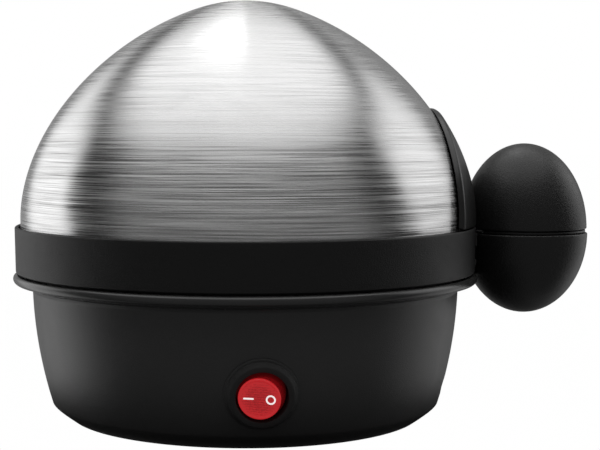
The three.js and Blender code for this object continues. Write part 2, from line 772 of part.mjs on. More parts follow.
// A lid let into the lower shell's mouth, with a skirt that grips inside it.
function lowerHandleCap() {
  const radius = lowerHandleRadius - handleWall - clearance;
  const outline = [
    p2(0, lowerHandleZ - 2),
    p2(radius - 2, lowerHandleZ - 2),
    p2(radius - 2, lowerHandleZ - 3.4),
    p2(radius - 0.5, lowerHandleZ - 3.4),
    p2(radius, lowerHandleZ - 1),
    p2(radius, lowerHandleZ),
    p2(0, lowerHandleZ),
  ];
  const flat = rimRadius + handleBandGap + handleWall + clearance;
  const made = turnedSolid(outline, 2 * smallSides).translate([handleX, 0, 0]).subtract(withinRadius(flat));
  return piece('lower_handle_cap', made, blackPlastic);
}

// ---- lid ----
// The lid's outline is a superellipse, with its tip rounded by a ball that meets it without a corner.
function lidCurve(steps = 9) {
  const at = (t) => p2(
    lidRadius * Math.cos(t) ** (2 / lidPowerR),
    lidWidestZ + lidHeight * Math.sin(t) ** (2 / lidPowerZ),
  );
  const tipT = Math.acos((lidTipRadius / lidRadius) ** (lidPowerR / 2));
  const tip = at(tipT);
  const before = at(tipT - 1e-4);
  const slope = (before.y - tip.y) / (tip.x - before.x);
  const centreZ = tip.y - tip.x / slope;
  const ball = Math.hypot(tip.x, tip.y - centreZ);
  const tipAngle = THREE.MathUtils.radToDeg(Math.asin((tip.y - centreZ) / ball));
  const points = [p2(lidRadius, lidBottomZ)];
  for (let i = 0; i <= steps; i += 1) {
    points.push(at((tipT * i) / steps));
  }
  points.push(...arc(0, centreZ, ball, tipAngle, 90, 2).slice(1));
  points[points.length - 1].x = 0;
  return points;
}
const lidOutline = lidCurve();

// The lid's outline moved along its normals, outwards for a positive distance.
function lidOffset(distance) {
  const last = lidOutline.length - 1;
  return lidOutline.map((p, i) => {
    const from = lidOutline[Math.max(i - 1, 0)];
    const to = lidOutline[Math.min(i + 1, last)];
    const along = to.clone().sub(from).normalize();
    const moved = p2(p.x + along.y * distance, p.y - along.x * distance);
    if (i === 0) {
      moved.y = p.y;
    }
    if (i === last) {
      moved.set(0, p.y + distance);
    }
    return moved;
  });
}
const underLid = (distance) => turnedSolid([p2(0, lidBottomZ), ...lidOffset(distance)]);

// The lid's outer radius at a height, between the outline's points.
function lidRadiusAt(z) {
  const i = lidOutline.findIndex((p) => p.y > z);
  const [a, b] = [lidOutline[i - 1], lidOutline[i]];
  return a.x + ((b.x - a.x) * (z - a.y)) / (b.y - a.y);
}

const lidScrewZ = bandTopZ + lidScrewHeight;
const lidScrewYs = [-lidScrewSpacing / 2, lidScrewSpacing / 2];
function lidScrewHoles(from, to) {
  const holes = lidScrewYs.map((y) => rod(handleScrewRadius + 0.5, [from, y, lidScrewZ], [to, y, lidScrewZ], 12));
  return holes[0].add(holes[1]);
}

function lidDome() {
  const inner = lidOffset(-sheet);
  const made = turnedSolid([...lidOffset(0), ...inner.reverse()]);
  const ventZ = lidWidestZ + 0.7 * lidHeight;
  const vent = rod(ventRadius, [0, lidRadiusAt(ventZ) - 8, ventZ - 6], [0, lidRadiusAt(ventZ) + 8, ventZ + 6], 12);
  return piece('lid_dome', made.subtract(lidScrewHoles(60, 100)).subtract(vent), brushedSteel);
}

// A half-round moulding that follows the lid: a skin with a rim that reaches back to the steel.
const shieldBottomZ = bandTopZ + 0.5;
function lidShield() {
  const centreZ = bandTopZ - 0.4;
  const round = (radius) => rod(radius, [40, 0, centreZ], [120, 0, centreZ], 40);
  const above = block([40, -60, shieldBottomZ], [120, 60, 200]);
  const hollow = underLid(shieldProud - shieldWall).intersect(round(shieldRadius - shieldWall))
    .subtract(block([40, -60, 0], [120, 60, shieldBottomZ + shieldWall]));
  const seats = lidScrewYs.map((y) => rod(handleBossRadius, [70, y, lidScrewZ], [120, y, lidScrewZ]));
  const made = underLid(shieldProud).intersect(round(shieldRadius)).intersect(above)
    .subtract(hollow.subtract(seats[0].add(seats[1])))
    .subtract(underLid(clearance))
    .subtract(lidScrewHoles(60, 120));
  return piece('lid_shield', made, glossBlack);
}

function upperHandleShell() {
  const outside = halfEgg(upperHandleRadius, upperHandleHeight, upperHandleZ, 1);
  const inner = halfEgg(upperHandleRadius - handleWall, upperHandleHeight - handleWall, upperHandleZ, 1)
    .subtract(underLid(shieldProud + clearance + handleWall));
  const bosses = lidScrewYs.map(
    (y) => rod(handleBossRadius, [70, y, lidScrewZ], [handleX - 2, y, lidScrewZ]).intersect(outside),
  );
  const pilots = lidScrewYs.map(
    (y) => rod(handleScrewRadius + clearance, [70, y, lidScrewZ], [handleX - 4, y, lidScrewZ], 12),
  );
  const made = outside.subtract(inner).add(bosses[0]).add(bosses[1])
    .subtract(underLid(shieldProud + clearance))
    .subtract(pilots[0])
    .subtract(pilots[1]);
  return piece('upper_handle_shell', made, blackPlastic);
}

// A plug for the upper shell's mouth, with a lip that fills the gap between the two handles.
function upperHandleCap() {
  const radius = upperHandleRadius - handleWall - clearance;
  const lip = upperHandleRadius - handleLipInset;
  const outline = [
    p2(0, lowerHandleZ + clearance),
    p2(lip, lowerHandleZ + clearance),
    p2(lip, upperHandleZ - clearance),
    p2(radius, upperHandleZ - clearance),
    p2(radius, upperHandleZ + 2),
    p2(0, upperHandleZ + 2),
  ];
  const flat = lidRadius + shieldProud + handleWall + 2 * clearance + 0.4;
  const made = turnedSolid(outline, 2 * smallSides).translate([handleX, 0, 0]).subtract(withinRadius(flat));
  return piece('upper_handle_cap', made, blackPlastic);
}

// A bent steel plate inside the lid that spreads the screws' load.
function lidInnerPlate() {
  const outer = -sheet - platePlay;
  const trim = block(
    [40, -plateHalfWidth, lidScrewZ - plateHalfHeight],
    [120, plateHalfWidth, lidScrewZ + plateHalfHeight],
  );
  const made = underLid(outer).subtract(underLid(outer - plateThickness)).intersect(trim);
  return piece('lid_inner_plate', made.subtract(lidScrewHoles(60, 100)), zincSteel);
}

function lidScrew(y, index) {
  const headRadius = 2.8;
  const plateRadius = lidRadiusAt(lidScrewZ + headRadius) - sheet - platePlay - plateThickness;
  const headFace = Math.sqrt(plateRadius ** 2 - (Math.abs(y) + headRadius) ** 2) - clearance - 0.2;
  const shankEnd = headFace + shieldProud + lidScrewReach;
  const outline = [
    p2(0, headFace - 2),
    p2(headRadius - 0.6, headFace - 2),
    p2(headRadius, headFace - 1.2),
    p2(headRadius, headFace),
    p2(handleScrewRadius, headFace),
    p2(handleScrewRadius, shankEnd - 1),
    p2(0, shankEnd),
  ];
  const geometry = turned(outline, 8).rotateY(Math.PI / 2).translate(0, y, lidScrewZ);
  return piece(`lid_screw_${index}`, geometry, zincSteel);
}

// ---- the whole cooker ----
const base = new THREE.Group();
base.add(
  housing(),
  heatingPan(),
  panSeal(),
  heatingElement(),
  elementTab(1, 'element_tab_1'),
  elementTab(-1, 'element_tab_2'),
  thermostat(),
  thermostatBracket(),
  thermalFuse(),
  switchGroup(),
  cordBush(),
  terminalBlock(),
  ...wires(),
  bottomCover(),
);
bracketAngles.forEach((angle, i) => {
  base.add(panStud(angle, i + 1), panBracket(angle, i + 1), panNut(angle, i + 1));
});
coverScrewAngles.forEach((angle, i) => base.add(coverScrew(angle, i + 1)));
footAngles.forEach((angle, i) => base.add(foot(angle, i + 1)));

const tray = new THREE.Group();
tray.add(eggTray(), lowerHandleShell(), lowerHandleCap(), lowerHandleScrew());

const lid = new THREE.Group();
lid.add(lidDome(), lidShield(), upperHandleShell(), upperHandleCap(), lidInnerPlate());
lidScrewYs.forEach((y, i) => lid.add(lidScrew(y, i + 1)));

// The part's origin is on the table, midway between the bead's left side and the handle's right side.
const cooker = new THREE.Group();
cooker.position.x = -centreShift;
cooker.add(base, tray, lid);

export default cooker;
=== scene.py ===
"""Looks of the egg cooker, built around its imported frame.

Lengths are millimetres here and become metres as each mesh is made. Radii are measured from the bowl's axis,
and the switch has a frame of its own, taken from its hinge.
"""
import json
import math

import bmesh
import bpy
import numpy as np
from mathutils import Matrix, Vector
from mathutils.geometry import delaunay_2d_cdt


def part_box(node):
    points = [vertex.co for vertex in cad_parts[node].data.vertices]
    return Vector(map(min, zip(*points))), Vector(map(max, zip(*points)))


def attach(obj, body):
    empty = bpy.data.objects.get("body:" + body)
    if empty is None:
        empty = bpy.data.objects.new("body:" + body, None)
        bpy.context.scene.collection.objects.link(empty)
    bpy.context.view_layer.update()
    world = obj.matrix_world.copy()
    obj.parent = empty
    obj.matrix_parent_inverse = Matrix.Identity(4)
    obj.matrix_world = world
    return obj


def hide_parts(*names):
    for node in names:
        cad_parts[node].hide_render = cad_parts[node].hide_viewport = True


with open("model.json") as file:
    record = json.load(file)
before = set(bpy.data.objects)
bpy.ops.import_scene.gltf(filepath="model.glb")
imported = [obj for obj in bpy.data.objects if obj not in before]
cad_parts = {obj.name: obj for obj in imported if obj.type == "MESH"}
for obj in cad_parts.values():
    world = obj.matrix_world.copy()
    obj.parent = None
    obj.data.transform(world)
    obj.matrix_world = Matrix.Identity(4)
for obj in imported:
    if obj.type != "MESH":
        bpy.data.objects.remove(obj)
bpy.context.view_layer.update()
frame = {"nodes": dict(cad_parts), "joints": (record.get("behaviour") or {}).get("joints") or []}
MM = 0.001
TAU = 2 * math.pi


# ---------------------------------------------------------------- sizes from the frame
def box_mm(node):
    """A CAD node's lowest and highest corners, in millimetres."""
    low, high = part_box(node)
    return np.array(low) / MM, np.array(high) / MM


lid_low, lid_high = box_mm("lid_dome")
housing_low, housing_high = box_mm("housing")
tray_low, tray_high = box_mm("egg_tray")
lower_low, lower_high = box_mm("lower_handle_shell")
upper_low, upper_high = box_mm("upper_handle_shell")
pan_low, pan_high = box_mm("heating_pan")
cover_low, cover_high = box_mm("bottom_cover")
seal_low, seal_high = box_mm("pan_seal")
bush_low, bush_high = box_mm("cord_bush")

SHEET = 0.8
GAP = 0.3  # between pieces that touch
AXIS_X = (lid_low[0] + lid_high[0]) / 2
LID_RADIUS = (lid_high[1] - lid_low[1]) / 2
LID_BOTTOM = lid_low[2]
BASE_TOP = housing_high[2]
BEAD_RADIUS = (housing_high[1] - housing_low[1]) / 2
RIM_RADIUS = (tray_high[1] - tray_low[1]) / 2
BAND_TOP = tray_high[2]
PAN_RADIUS = (pan_high[1] - pan_low[1]) / 2
PAN_TOP = pan_high[2]
PAN_UNDER = pan_low[2]
COVER_RADIUS = (cover_high[1] - cover_low[1]) / 2
LOWER_RADIUS = (lower_high[1] - lower_low[1]) / 2
UPPER_RADIUS = (upper_high[1] - upper_low[1]) / 2
HANDLE_X = lower_high[0] - LOWER_RADIUS
LOWER_TOP = lower_high[2]
LOWER_HEIGHT = LOWER_TOP - lower_low[2]
UPPER_BOTTOM = upper_low[2]
UPPER_HEIGHT = upper_high[2] - UPPER_BOTTOM
HANDLE_WALL = 2.0
HANDLE_SCREW_X = HANDLE_X - 3.4

rocker_hinge = next(j for j in frame["joints"] if j["name"] == "power_rocker")
PIVOT = np.array(rocker_hinge["pos_m"]) / MM
SWITCH_RIGHT = np.array([1.0, 0.0, 0.0])
SWITCH_UP = np.array(rocker_hinge["axis"])
SWITCH_OUT = np.cross(SWITCH_RIGHT, SWITCH_UP)
PIVOT_DEPTH = 1.4
SWITCH_CENTRE = PIVOT + SWITCH_OUT * PIVOT_DEPTH
ROCKER_TILT = math.radians(-11)
ROCKER_RIGHT = SWITCH_RIGHT * math.cos(ROCKER_TILT) - SWITCH_OUT * math.sin(ROCKER_TILT)
ROCKER_OUT = SWITCH_RIGHT * math.sin(ROCKER_TILT) + SWITCH_OUT * math.cos(ROCKER_TILT)
ROCKER_FACE = 6.9
FACE_HEIGHT = 5.6
FACE_SAG = 0.3
BEZEL_RADIUS = 11.8
BARREL_RADIUS = 10.0
SWITCH_HOLE = 8.5

WALL_CURVE = 160.0  # the base's wall bulges on an arc through these two points
WALL_TOP = np.array([RIM_RADIUS - 6.4, BASE_TOP - 6.2])
WALL_BOTTOM = np.array([RIM_RADIUS - 13.3, 5.9])
WALL_THICKNESS = 2.2
RECESS_Z = (bush_low[2] + bush_high[2]) / 2
RECESS_DEPTH = 2.0
RECESS_HALF_HEIGHT = 6.0
RECESS_HALF_ANGLE = math.radians(16)

LID_WIDEST = LID_BOTTOM + 6.56
LID_RISE = 80.19
LID_POWER_R = 1.634
LID_POWER_Z = 1.838
LID_TIP_RADIUS = 18.0
SHIELD_RADIUS = 43.7
SHIELD_PROUD = 2.2
SHIELD_WALL = 1.2
SHIELD_CENTRE_Z = BAND_TOP - 0.4
SHIELD_BOTTOM = BAND_TOP + 0.5
LID_SCREW_Z = BAND_TOP + 7.5
LID_SCREW_YS = (-5, 5)

EGG_PLATE = BAND_TOP - 9.4
EGG_HOLE = 16.5
EGG_CIRCLE = 49.0
TRAY_INNER = RIM_RADIUS - 5.45
TONGUE_TOP = BAND_TOP - 8.9


# ---------------------------------------------------------------- profiles
def arc(cx, cz, radius, start, end, steps):
    """Points on a circle about (cx, cz), from one angle to another in degrees."""
    a = np.radians(np.linspace(start, end, steps + 1))
    return np.stack([cx + radius * np.cos(a), cz + radius * np.sin(a)], 1)


def rounded(corners, radius, steps=5):
    """A polyline whose inner corners are quadratic curves that start and end one radius from the corner,
    or half of the shorter side where that is less."""
    corners = np.asarray(corners, float)
    radii = np.broadcast_to(radius, len(corners))
    made = [corners[:1]]
    t = np.linspace(0, 1, steps + 1)[:, None]
    for i in range(1, len(corners) - 1):
        before, here, after = corners[i - 1 : i + 2]
        back, on = before - here, after - here
        back_length, on_length = np.linalg.norm(back), np.linalg.norm(on)
        reach = min(radii[i], back_length / 2, on_length / 2)
        if reach < 1e-6:
            made.append(here[None])
            continue
        start, end = here + back / back_length * reach, here + on / on_length * reach
        made.append((1 - t) ** 2 * start + 2 * t * (1 - t) * here + t**2 * end)
    made.append(corners[-1:])
    return np.concatenate(made)


def refined(points, longest):
    """A polyline with its long sides divided, so that none is longer than the given length."""
    made = [points[:1]]
    for a, b in zip(points[:-1], points[1:]):
        parts = max(1, math.ceil(np.linalg.norm(b - a) / longest))
        made.append(a + (b - a) * np.linspace(0, 1, parts + 1)[1:, None])
    return np.concatenate(made)


def travelled(points):
    """Length along a polyline at each of its points."""
    return np.concatenate([[0], np.cumsum(np.linalg.norm(np.diff(points, axis=0), axis=1))])


def ellipse_quarter(radius, height, z, way, steps=40):
    """A quarter of an ellipse from its pole on the axis to its widest point at height z, above (way 1) or
    below (way -1) that height."""
    a = np.linspace(math.pi / 2, 0, steps + 1)
    return np.stack([radius * np.cos(a), z + way * height * np.sin(a)], 1)


# ---------------------------------------------------------------- meshes
def grid_faces(rows, columns, wrap):
    """Quads between neighbouring points of a grid; point (i, j) has the number i * columns + j, and with wrap
    the last column joins the first."""
    i = np.arange(rows - 1)[:, None]
    j = np.arange(columns if wrap else columns - 1)[None, :]
    right = (j + 1) % columns
    corners = [i * columns + j, i * columns + right, (i + 1) * columns + right, (i + 1) * columns + j]
    return np.stack(corners, -1).reshape(-1, 4)


WELD = 0.002  # points nearer than this become one


class Skin:
    """Surface patches that are welded into one closed mesh."""

    def __init__(self):
        self.points, self.faces, self.count = [], [], 0

    def cells(self, points, faces):
        """Adds points, rows of 3, and the faces between them."""
        points = np.asarray(points, float).reshape(-1, 3)
        self.faces.extend((np.asarray(faces) + self.count).tolist())
        self.points.append(points)
        self.count += len(points)
        return self

    def grid(self, points, wrap=True):
        """Adds a grid of points, rows by columns by 3."""
        return self.cells(points, grid_faces(points.shape[0], points.shape[1], wrap))

    def made(self, name, finish=None, sharp=None):
        """Welds the patches, turns the faces outwards, shades them smooth, and marks edges sharper than the
        given angle as creases."""
        mesh = bpy.data.meshes.new(name)
        mesh.from_pydata((np.concatenate(self.points) * MM).tolist(), [], self.faces)
        work = bmesh.new()
        work.from_mesh(mesh)
        bmesh.ops.remove_doubles(work, verts=work.verts, dist=WELD * MM)
        bmesh.ops.dissolve_degenerate(work, edges=work.edges, dist=1e-7)
        bmesh.ops.recalc_face_normals(work, faces=work.faces)
        work.to_mesh(mesh)
        work.free()
        piece = bpy.data.objects.new(name, mesh)
        bpy.context.scene.collection.objects.link(piece)
        return finished(piece, finish, sharp)


def finished(piece, finish, sharp):
    """The piece shaded smooth, creased at edges sharper than an angle in degrees, and given its finish."""
    mesh = piece.data
    mesh.polygons.foreach_set("use_smooth", np.ones(len(mesh.polygons), bool))
    if sharp is not None:
        mesh.set_sharp_from_angle(angle=math.radians(sharp))
    if finish is not None:
        mesh.materials.clear()
        mesh.materials.append(finish)
    return piece


def even(count):
    """Evenly spaced angles round a circle."""
    return np.arange(count) * TAU / count


def turned(profile, angles, x=AXIS_X, y=0.0):
    """A profile of radius and height carried round a vertical axis: rows follow the profile."""
    r, z = profile[:, 0, None], profile[:, 1, None]
    px, py = x + r * np.cos(angles), y + r * np.sin(angles)
    return np.stack([px, py, np.broadcast_to(z, px.shape)], -1)


def turned_skin(profile, count=160, x=AXIS_X, y=0.0):
    """A closed turned skin; the profile starts and ends on the axis, or ends where it starts."""
    return Skin().grid(turned(np.asarray(profile, float), even(count), x, y))


def placed(points, origin, right, up, out):
    """Points given by their distances along three directions from an origin."""
    return origin + points[..., 0:1] * right + points[..., 1:2] * up + points[..., 2:3] * out


def on_switch(points):
    """Points in the switch's own frame: right, up and out from the middle of its bezel."""
    return placed(points, SWITCH_CENTRE, SWITCH_RIGHT, SWITCH_UP, SWITCH_OUT)


def basis(axis):
    """Two directions square to an axis and to each other."""
    axis = np.asarray(axis, float) / np.linalg.norm(axis)
    side = np.cross(axis, [0.0, 0.0, 1.0] if abs(axis[2]) < 0.9 else [1.0, 0.0, 0.0])
    side /= np.linalg.norm(side)
    return axis, side, np.cross(axis, side)


def rod_skin(radius, start, end, count=24, bevel=0.15):
    """A round rod between two points, with bevelled ends."""
    start, end = np.asarray(start, float), np.asarray(end, float)
    length = np.linalg.norm(end - start)
    axis, side, other = basis(end - start)
    a = even(count)
    ring = side * np.cos(a)[:, None] + other * np.sin(a)[:, None]
    rows = [(0, 0), (radius - bevel, 0), (radius, bevel)]
    rows += [(radius, length - bevel), (radius - bevel, length), (0, length)]
    return Skin().grid(np.array([start + axis * level + ring * r for r, level in rows]))


def bar_skin(low, high, edge=0.3):
    """A box between two corners: a unit cube stretched between them, whose twelve edges are rounded off by the
    edge's width."""
    low, high = np.asarray(low, float), np.asarray(high, float)
    work = bmesh.new()
    place = Matrix.LocRotScale(Vector((low + high) / 2), None, Vector(high - low))
    bmesh.ops.create_cube(work, size=1.0, matrix=place)
    bmesh.ops.bevel(work, geom=work.edges, offset=edge, segments=2, profile=0.5, affect="EDGES")
    bmesh.ops.triangulate(work, faces=work.faces)
    work.verts.index_update()
    skin = Skin().cells([v.co for v in work.verts], [[v.index for v in f.verts] for f in work.faces])
    work.free()
    return skin


def tube_skin(path, radius, count=14, steps=60):
    """A round tube along a smooth path: rings square to the path, turned on from each to the next by the least
    angle, and a domed end at each end. The path is a Catmull-Rom curve through the points."""
    p = np.asarray(path, float)
    p = np.concatenate([[2 * p[0] - p[1]], p, [2 * p[-1] - p[-2]]])
    t = np.linspace(0, len(p) - 3 - 1e-6, steps)
    k, u = t.astype(int), (t % 1)[:, None]
    a, b, c, d = p[k], p[k + 1], p[k + 2], p[k + 3]
    line = 0.5 * (2 * b + (c - a) * u + (2 * a - 5 * b + 4 * c - d) * u**2 + (3 * b - a - 3 * c + d) * u**3)
    axes = np.gradient(line, axis=0)
    axes /= np.linalg.norm(axes, axis=1)[:, None]
    side = basis(axes[0])[1]
    angles = even(count)
    rows = []
    for centre, axis in zip(line, axes):
        side = side - axis * (side @ axis)
        side /= np.linalg.norm(side)
        other = np.cross(axis, side)
        rows.append(centre + radius * (side * np.cos(angles)[:, None] + other * np.sin(angles)[:, None]))
    ends = [(line[0], -axes[0], rows[0]), (line[-1], axes[-1], rows[-1])]
    caps = []
    for centre, axis, ring in ends:
        lean = np.radians([30.0, 60.0, 90.0])[:, None, None]
        caps.append(centre + (ring - centre) * np.cos(lean) + axis * radius * 0.5 * np.sin(lean))
    return Skin().grid(np.concatenate([caps[0][::-1], np.array(rows), caps[1]]))


def combined(piece, operation, *others):
    """Joins each other solid to a piece, or takes it out, and removes the other."""
    for other in others:
        modifier = piece.modifiers.new("join", "BOOLEAN")
        modifier.operation = operation
        modifier.solver = "EXACT"
        modifier.object = other
        bpy.context.view_layer.update()
        mesh = bpy.data.meshes.new_from_object(piece.evaluated_get(bpy.context.evaluated_depsgraph_get()))
        piece.modifiers.clear()
        old = piece.data
        piece.data = mesh
        bpy.data.meshes.remove(old)
        mesh.name = piece.name
        bpy.data.objects.remove(other)
    work = bmesh.new()
    work.from_mesh(piece.data)
    bmesh.ops.remove_doubles(work, verts=work.verts, dist=0.002 * MM)
    bmesh.ops.dissolve_degenerate(work, edges=work.edges, dist=1e-7)
    work.to_mesh(piece.data)
    work.free()
    return piece


def cut(piece, *others):
    """Takes the other solids out of a piece."""
    return combined(piece, "DIFFERENCE", *others)


def joined(piece, *others):
    """Makes a piece and the other solids one."""
    return combined(piece, "UNION", *others)


def about_bowl(radius, angle, z):
    """A point at a radius and an angle in degrees about the bowl's axis."""
    a = math.radians(angle)
    return np.array([AXIS_X + radius * math.cos(a), radius * math.sin(a), z])


def settle(piece, body, slot, *nodes):
    """The piece rides on a body and stands for the CAD nodes, which are hidden; the slot is not used."""
    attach(piece, body)
    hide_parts(*nodes)
    return piece


# ---------------------------------------------------------------- finishes
class Net:
    """A node tree being filled: each call adds a node and returns its output."""

    def __init__(self, tree):
        self.tree = tree

    def node(self, kind, **settings):
        """A new node with the given settings."""
        made = self.tree.nodes.new(kind)
        for key, value in settings.items():
            setattr(made, key, value)
        return made

    def put(self, socket, value):
        """Links a socket to an output, or sets its value."""
        if isinstance(value, bpy.types.NodeSocket):
            self.tree.links.new(value, socket)
        else:
            socket.default_value = value

    def math(self, operation, *values, clamp=False):
        """One operation on numbers."""
        made = self.node("ShaderNodeMath", operation=operation, use_clamp=clamp)
        for socket, value in zip(made.inputs, values):
            self.put(socket, value)
        return made.outputs[0]

    def vector(self, operation, *values, output="Vector"):
        """One operation on vectors."""
        made = self.node("ShaderNodeVectorMath", operation=operation)
        for socket, value in zip(made.inputs, values):
            self.put(socket, value)
        return made.outputs[output]

    def ramp(self, value, low, high, start=0.0, end=1.0, shape="SMOOTHSTEP"):
        """A value taken from one range to another and held at its ends."""
        made = self.node("ShaderNodeMapRange", interpolation_type=shape)
        settings = {"Value": value, "From Min": low, "From Max": high, "To Min": start, "To Max": end}
        for name, given in settings.items():
            self.put(made.inputs[name], given)
        return made.outputs["Result"]

    def noise(self, vector, scale, detail=3.0, roughness=0.5, distortion=0.0):
        """Noise between 0 and 1."""
        made = self.node("ShaderNodeTexNoise")
        settings = {"Vector": vector, "Scale": scale, "Detail": detail}
        settings.update({"Roughness": roughness, "Distortion": distortion})
        for name, given in settings.items():
            self.put(made.inputs[name], given)
        return made.outputs["Fac"]

    def mix(self, factor, a, b):
        """Colour a, turned into colour b by a factor."""
        made = self.node("ShaderNodeMix", data_type="RGBA")
        self.put(made.inputs["Factor"], factor)
        self.put(made.inputs[6], a)
        self.put(made.inputs[7], b)
        return made.outputs[2]

    def parts(self, vector):
        """The x, y and z of a vector."""
        made = self.node("ShaderNodeSeparateXYZ")
        self.put(made.inputs[0], vector)
        return made.outputs

    def joined(self, x, y, z):
        """Three numbers as a vector."""
        made = self.node("ShaderNodeCombineXYZ")
        for socket, value in zip(made.inputs, (x, y, z)):
            self.put(socket, value)
        return made.outputs[0]

    def on_object(self, centre=(0.0, 0.0, 0.0), scale=(1.0, 1.0, 1.0)):
        """Object coordinates from a centre given in metres."""
        made = self.node("ShaderNodeMapping")
        self.put(made.inputs["Vector"], self.node("ShaderNodeTexCoord").outputs["Object"])
        made.inputs["Location"].default_value = [-c * s for c, s in zip(centre, scale)]
        made.inputs["Scale"].default_value = scale
        return made.outputs[0]

    def group(self, tree, **values):
        """The outputs of an effect that is given its inputs by name."""
        made = self.node("ShaderNodeGroup")
        made.node_tree = tree
        for name, value in values.items():
            self.put(made.inputs[name], value)
        return made.outputs


def effect(name, inputs, outputs):
    """A node group with named inputs and outputs, and the net that fills it."""
    tree = bpy.data.node_groups.new(name, "ShaderNodeTree")
    for label, kind in inputs.items():
        tree.interface.new_socket(label, in_out="INPUT", socket_type="NodeSocket" + kind)
    for label in outputs:
        tree.interface.new_socket(label, in_out="OUTPUT", socket_type="NodeSocketFloat")
    net = Net(tree)
    return tree, net, net.node("NodeGroupInput").outputs, net.node("NodeGroupOutput").inputs


def moulded_grain_effect():
    """Spark-eroded plastic: fine pimples one grain across, slower waviness of the wall, and handling smears."""
    inputs = {"Vector": "Vector", "Grain per metre": "Float", "Smear": "Float"}
    tree, net, given, out = effect("moulded_grain", inputs, ["Height", "Tone", "Polish"])
    grain = net.noise(given["Vector"], given["Grain per metre"], 2.0, 0.55)
    pimples = net.ramp(grain, 0.42, 0.66)
    waves = net.noise(given["Vector"], 55.0, 2.0, 0.5)
    net.put(out["Height"], net.math("ADD", pimples, net.math("MULTIPLY", waves, 0.6)))
    mottle = net.noise(given["Vector"], 260.0, 3.0, 0.6)
    net.put(out["Tone"], net.math("ADD", net.math("MULTIPLY", mottle, 0.5), net.math("MULTIPLY", pimples, 0.5)))
    smears = net.noise(given["Vector"], 38.0, 4.0, 0.62, 0.8)
    net.put(out["Polish"], net.math("MULTIPLY", net.ramp(smears, 0.5, 0.75), given["Smear"]))
    return tree


def dust_effect():
    """Specks and a thin film of dust, thicker on faces that look up."""
    tree, net, given, out = effect("settled_dust", {"Vector": "Vector", "Up": "Float"}, ["Mask"])
    specks = net.ramp(net.noise(given["Vector"], 1500.0, 1.0, 0.5), 0.72, 0.8)
    film = net.ramp(net.noise(given["Vector"], 90.0, 4.0, 0.6), 0.35, 0.8, 0.0, 0.35)
    up = net.ramp(given["Up"], 0.2, 1.0)
    net.put(out["Mask"], net.math("MULTIPLY", net.math("ADD", specks, film), up, clamp=True))
    return tree


def brushing_effect():
    """Lines left by an abrasive that went round an axis. A point's direction from the axis is set on a circle
    whose size gives the lines their length, and its distance along the sheet gives them their width; three
    widths are added, and rare deeper scratches are kept apart."""
    inputs = {"Direction": "Vector", "Along": "Float", "Fineness": "Float"}
    tree, net, given, out = effect("round_brushing", inputs, ["Lines", "Bands", "Scratches"])
    x, y, _ = net.parts(given["Direction"])

    def lines(length, width, detail):
        """Noise that runs round the axis, as long and as wide as the two scales say."""
        along = net.math("MULTIPLY", net.math("MULTIPLY", given["Along"], given["Fineness"]), width)
        place = net.joined(net.math("MULTIPLY", x, length), net.math("MULTIPLY", y, length), along)
        return net.noise(place, 1.0, detail, 0.6)

    fine = lines(2.2, 4.6, 2.0)
    middle = lines(1.1, 2.2, 2.0)
    broad = lines(0.5, 0.4, 2.0)
    both = net.math("ADD", net.math("MULTIPLY", fine, 0.5), net.math("MULTIPLY", middle, 0.5))
    net.put(out["Lines"], net.ramp(both, 0.36, 0.64, shape="LINEAR"))
    net.put(out["Bands"], net.ramp(broad, 0.3, 0.7, shape="LINEAR"))
    net.put(out["Scratches"], net.ramp(lines(1.2, 2.0, 0.0), 0.70, 0.82))
    return tree


MOULDED_GRAIN = moulded_grain_effect()
SETTLED_DUST = dust_effect()
ROUND_BRUSHING = brushing_effect()


def shader(name, **constants):
    """A material with one Principled shader; the constants go on the shader's own sockets."""
    material = bpy.data.materials.new(name)
    material.use_nodes = True
    net = Net(material.node_tree)
    principled = material.node_tree.nodes["Principled BSDF"]
    for label, value in constants.items():
        principled.inputs[label.replace("_", " ")].default_value = value
    return material, net, principled.inputs


def grey(value):
    """A grey as a colour."""
    return (value, value, value, 1.0)


def bump(net, height, distance, strength=1.0):
    """A normal tilted by the slope of a height, whose full range stands for a distance in metres."""
    made = net.node("ShaderNodeBump")
    made.inputs["Strength"].default_value = strength
    made.inputs["Distance"].default_value = distance
    net.put(made.inputs["Height"], height)
    return made.outputs[0]


def moulded_plastic(name, dark, light, roughness, grain=2600.0, depth=0.00003, smear=0.08, dust=0.12, **constants):
    """Moulded plastic or rubber: grain in the bump, a mottled tone, smears that polish it and a trace of dust."""
    material, net, sockets = shader(name, **constants)
    place = net.on_object()
    given = net.group(MOULDED_GRAIN, **{"Vector": place, "Grain per metre": grain, "Smear": smear})
    up = net.parts(net.node("ShaderNodeNewGeometry").outputs["Normal"])[2]
    dusty = net.math("MULTIPLY", net.group(SETTLED_DUST, Vector=place, Up=up)["Mask"], dust)
    colour = net.mix(given["Tone"], dark, light)
    net.put(sockets["Base Color"], net.mix(dusty, colour, (0.35, 0.34, 0.32, 1.0)))
    rough = net.math("SUBTRACT", net.math("ADD", roughness, net.math("MULTIPLY", given["Tone"], 0.06)), given["Polish"])
    net.put(sockets["Roughness"], net.math("ADD", rough, net.math("MULTIPLY", dusty, 0.3)))
    net.put(sockets["Normal"], bump(net, given["Height"], depth))
    return material


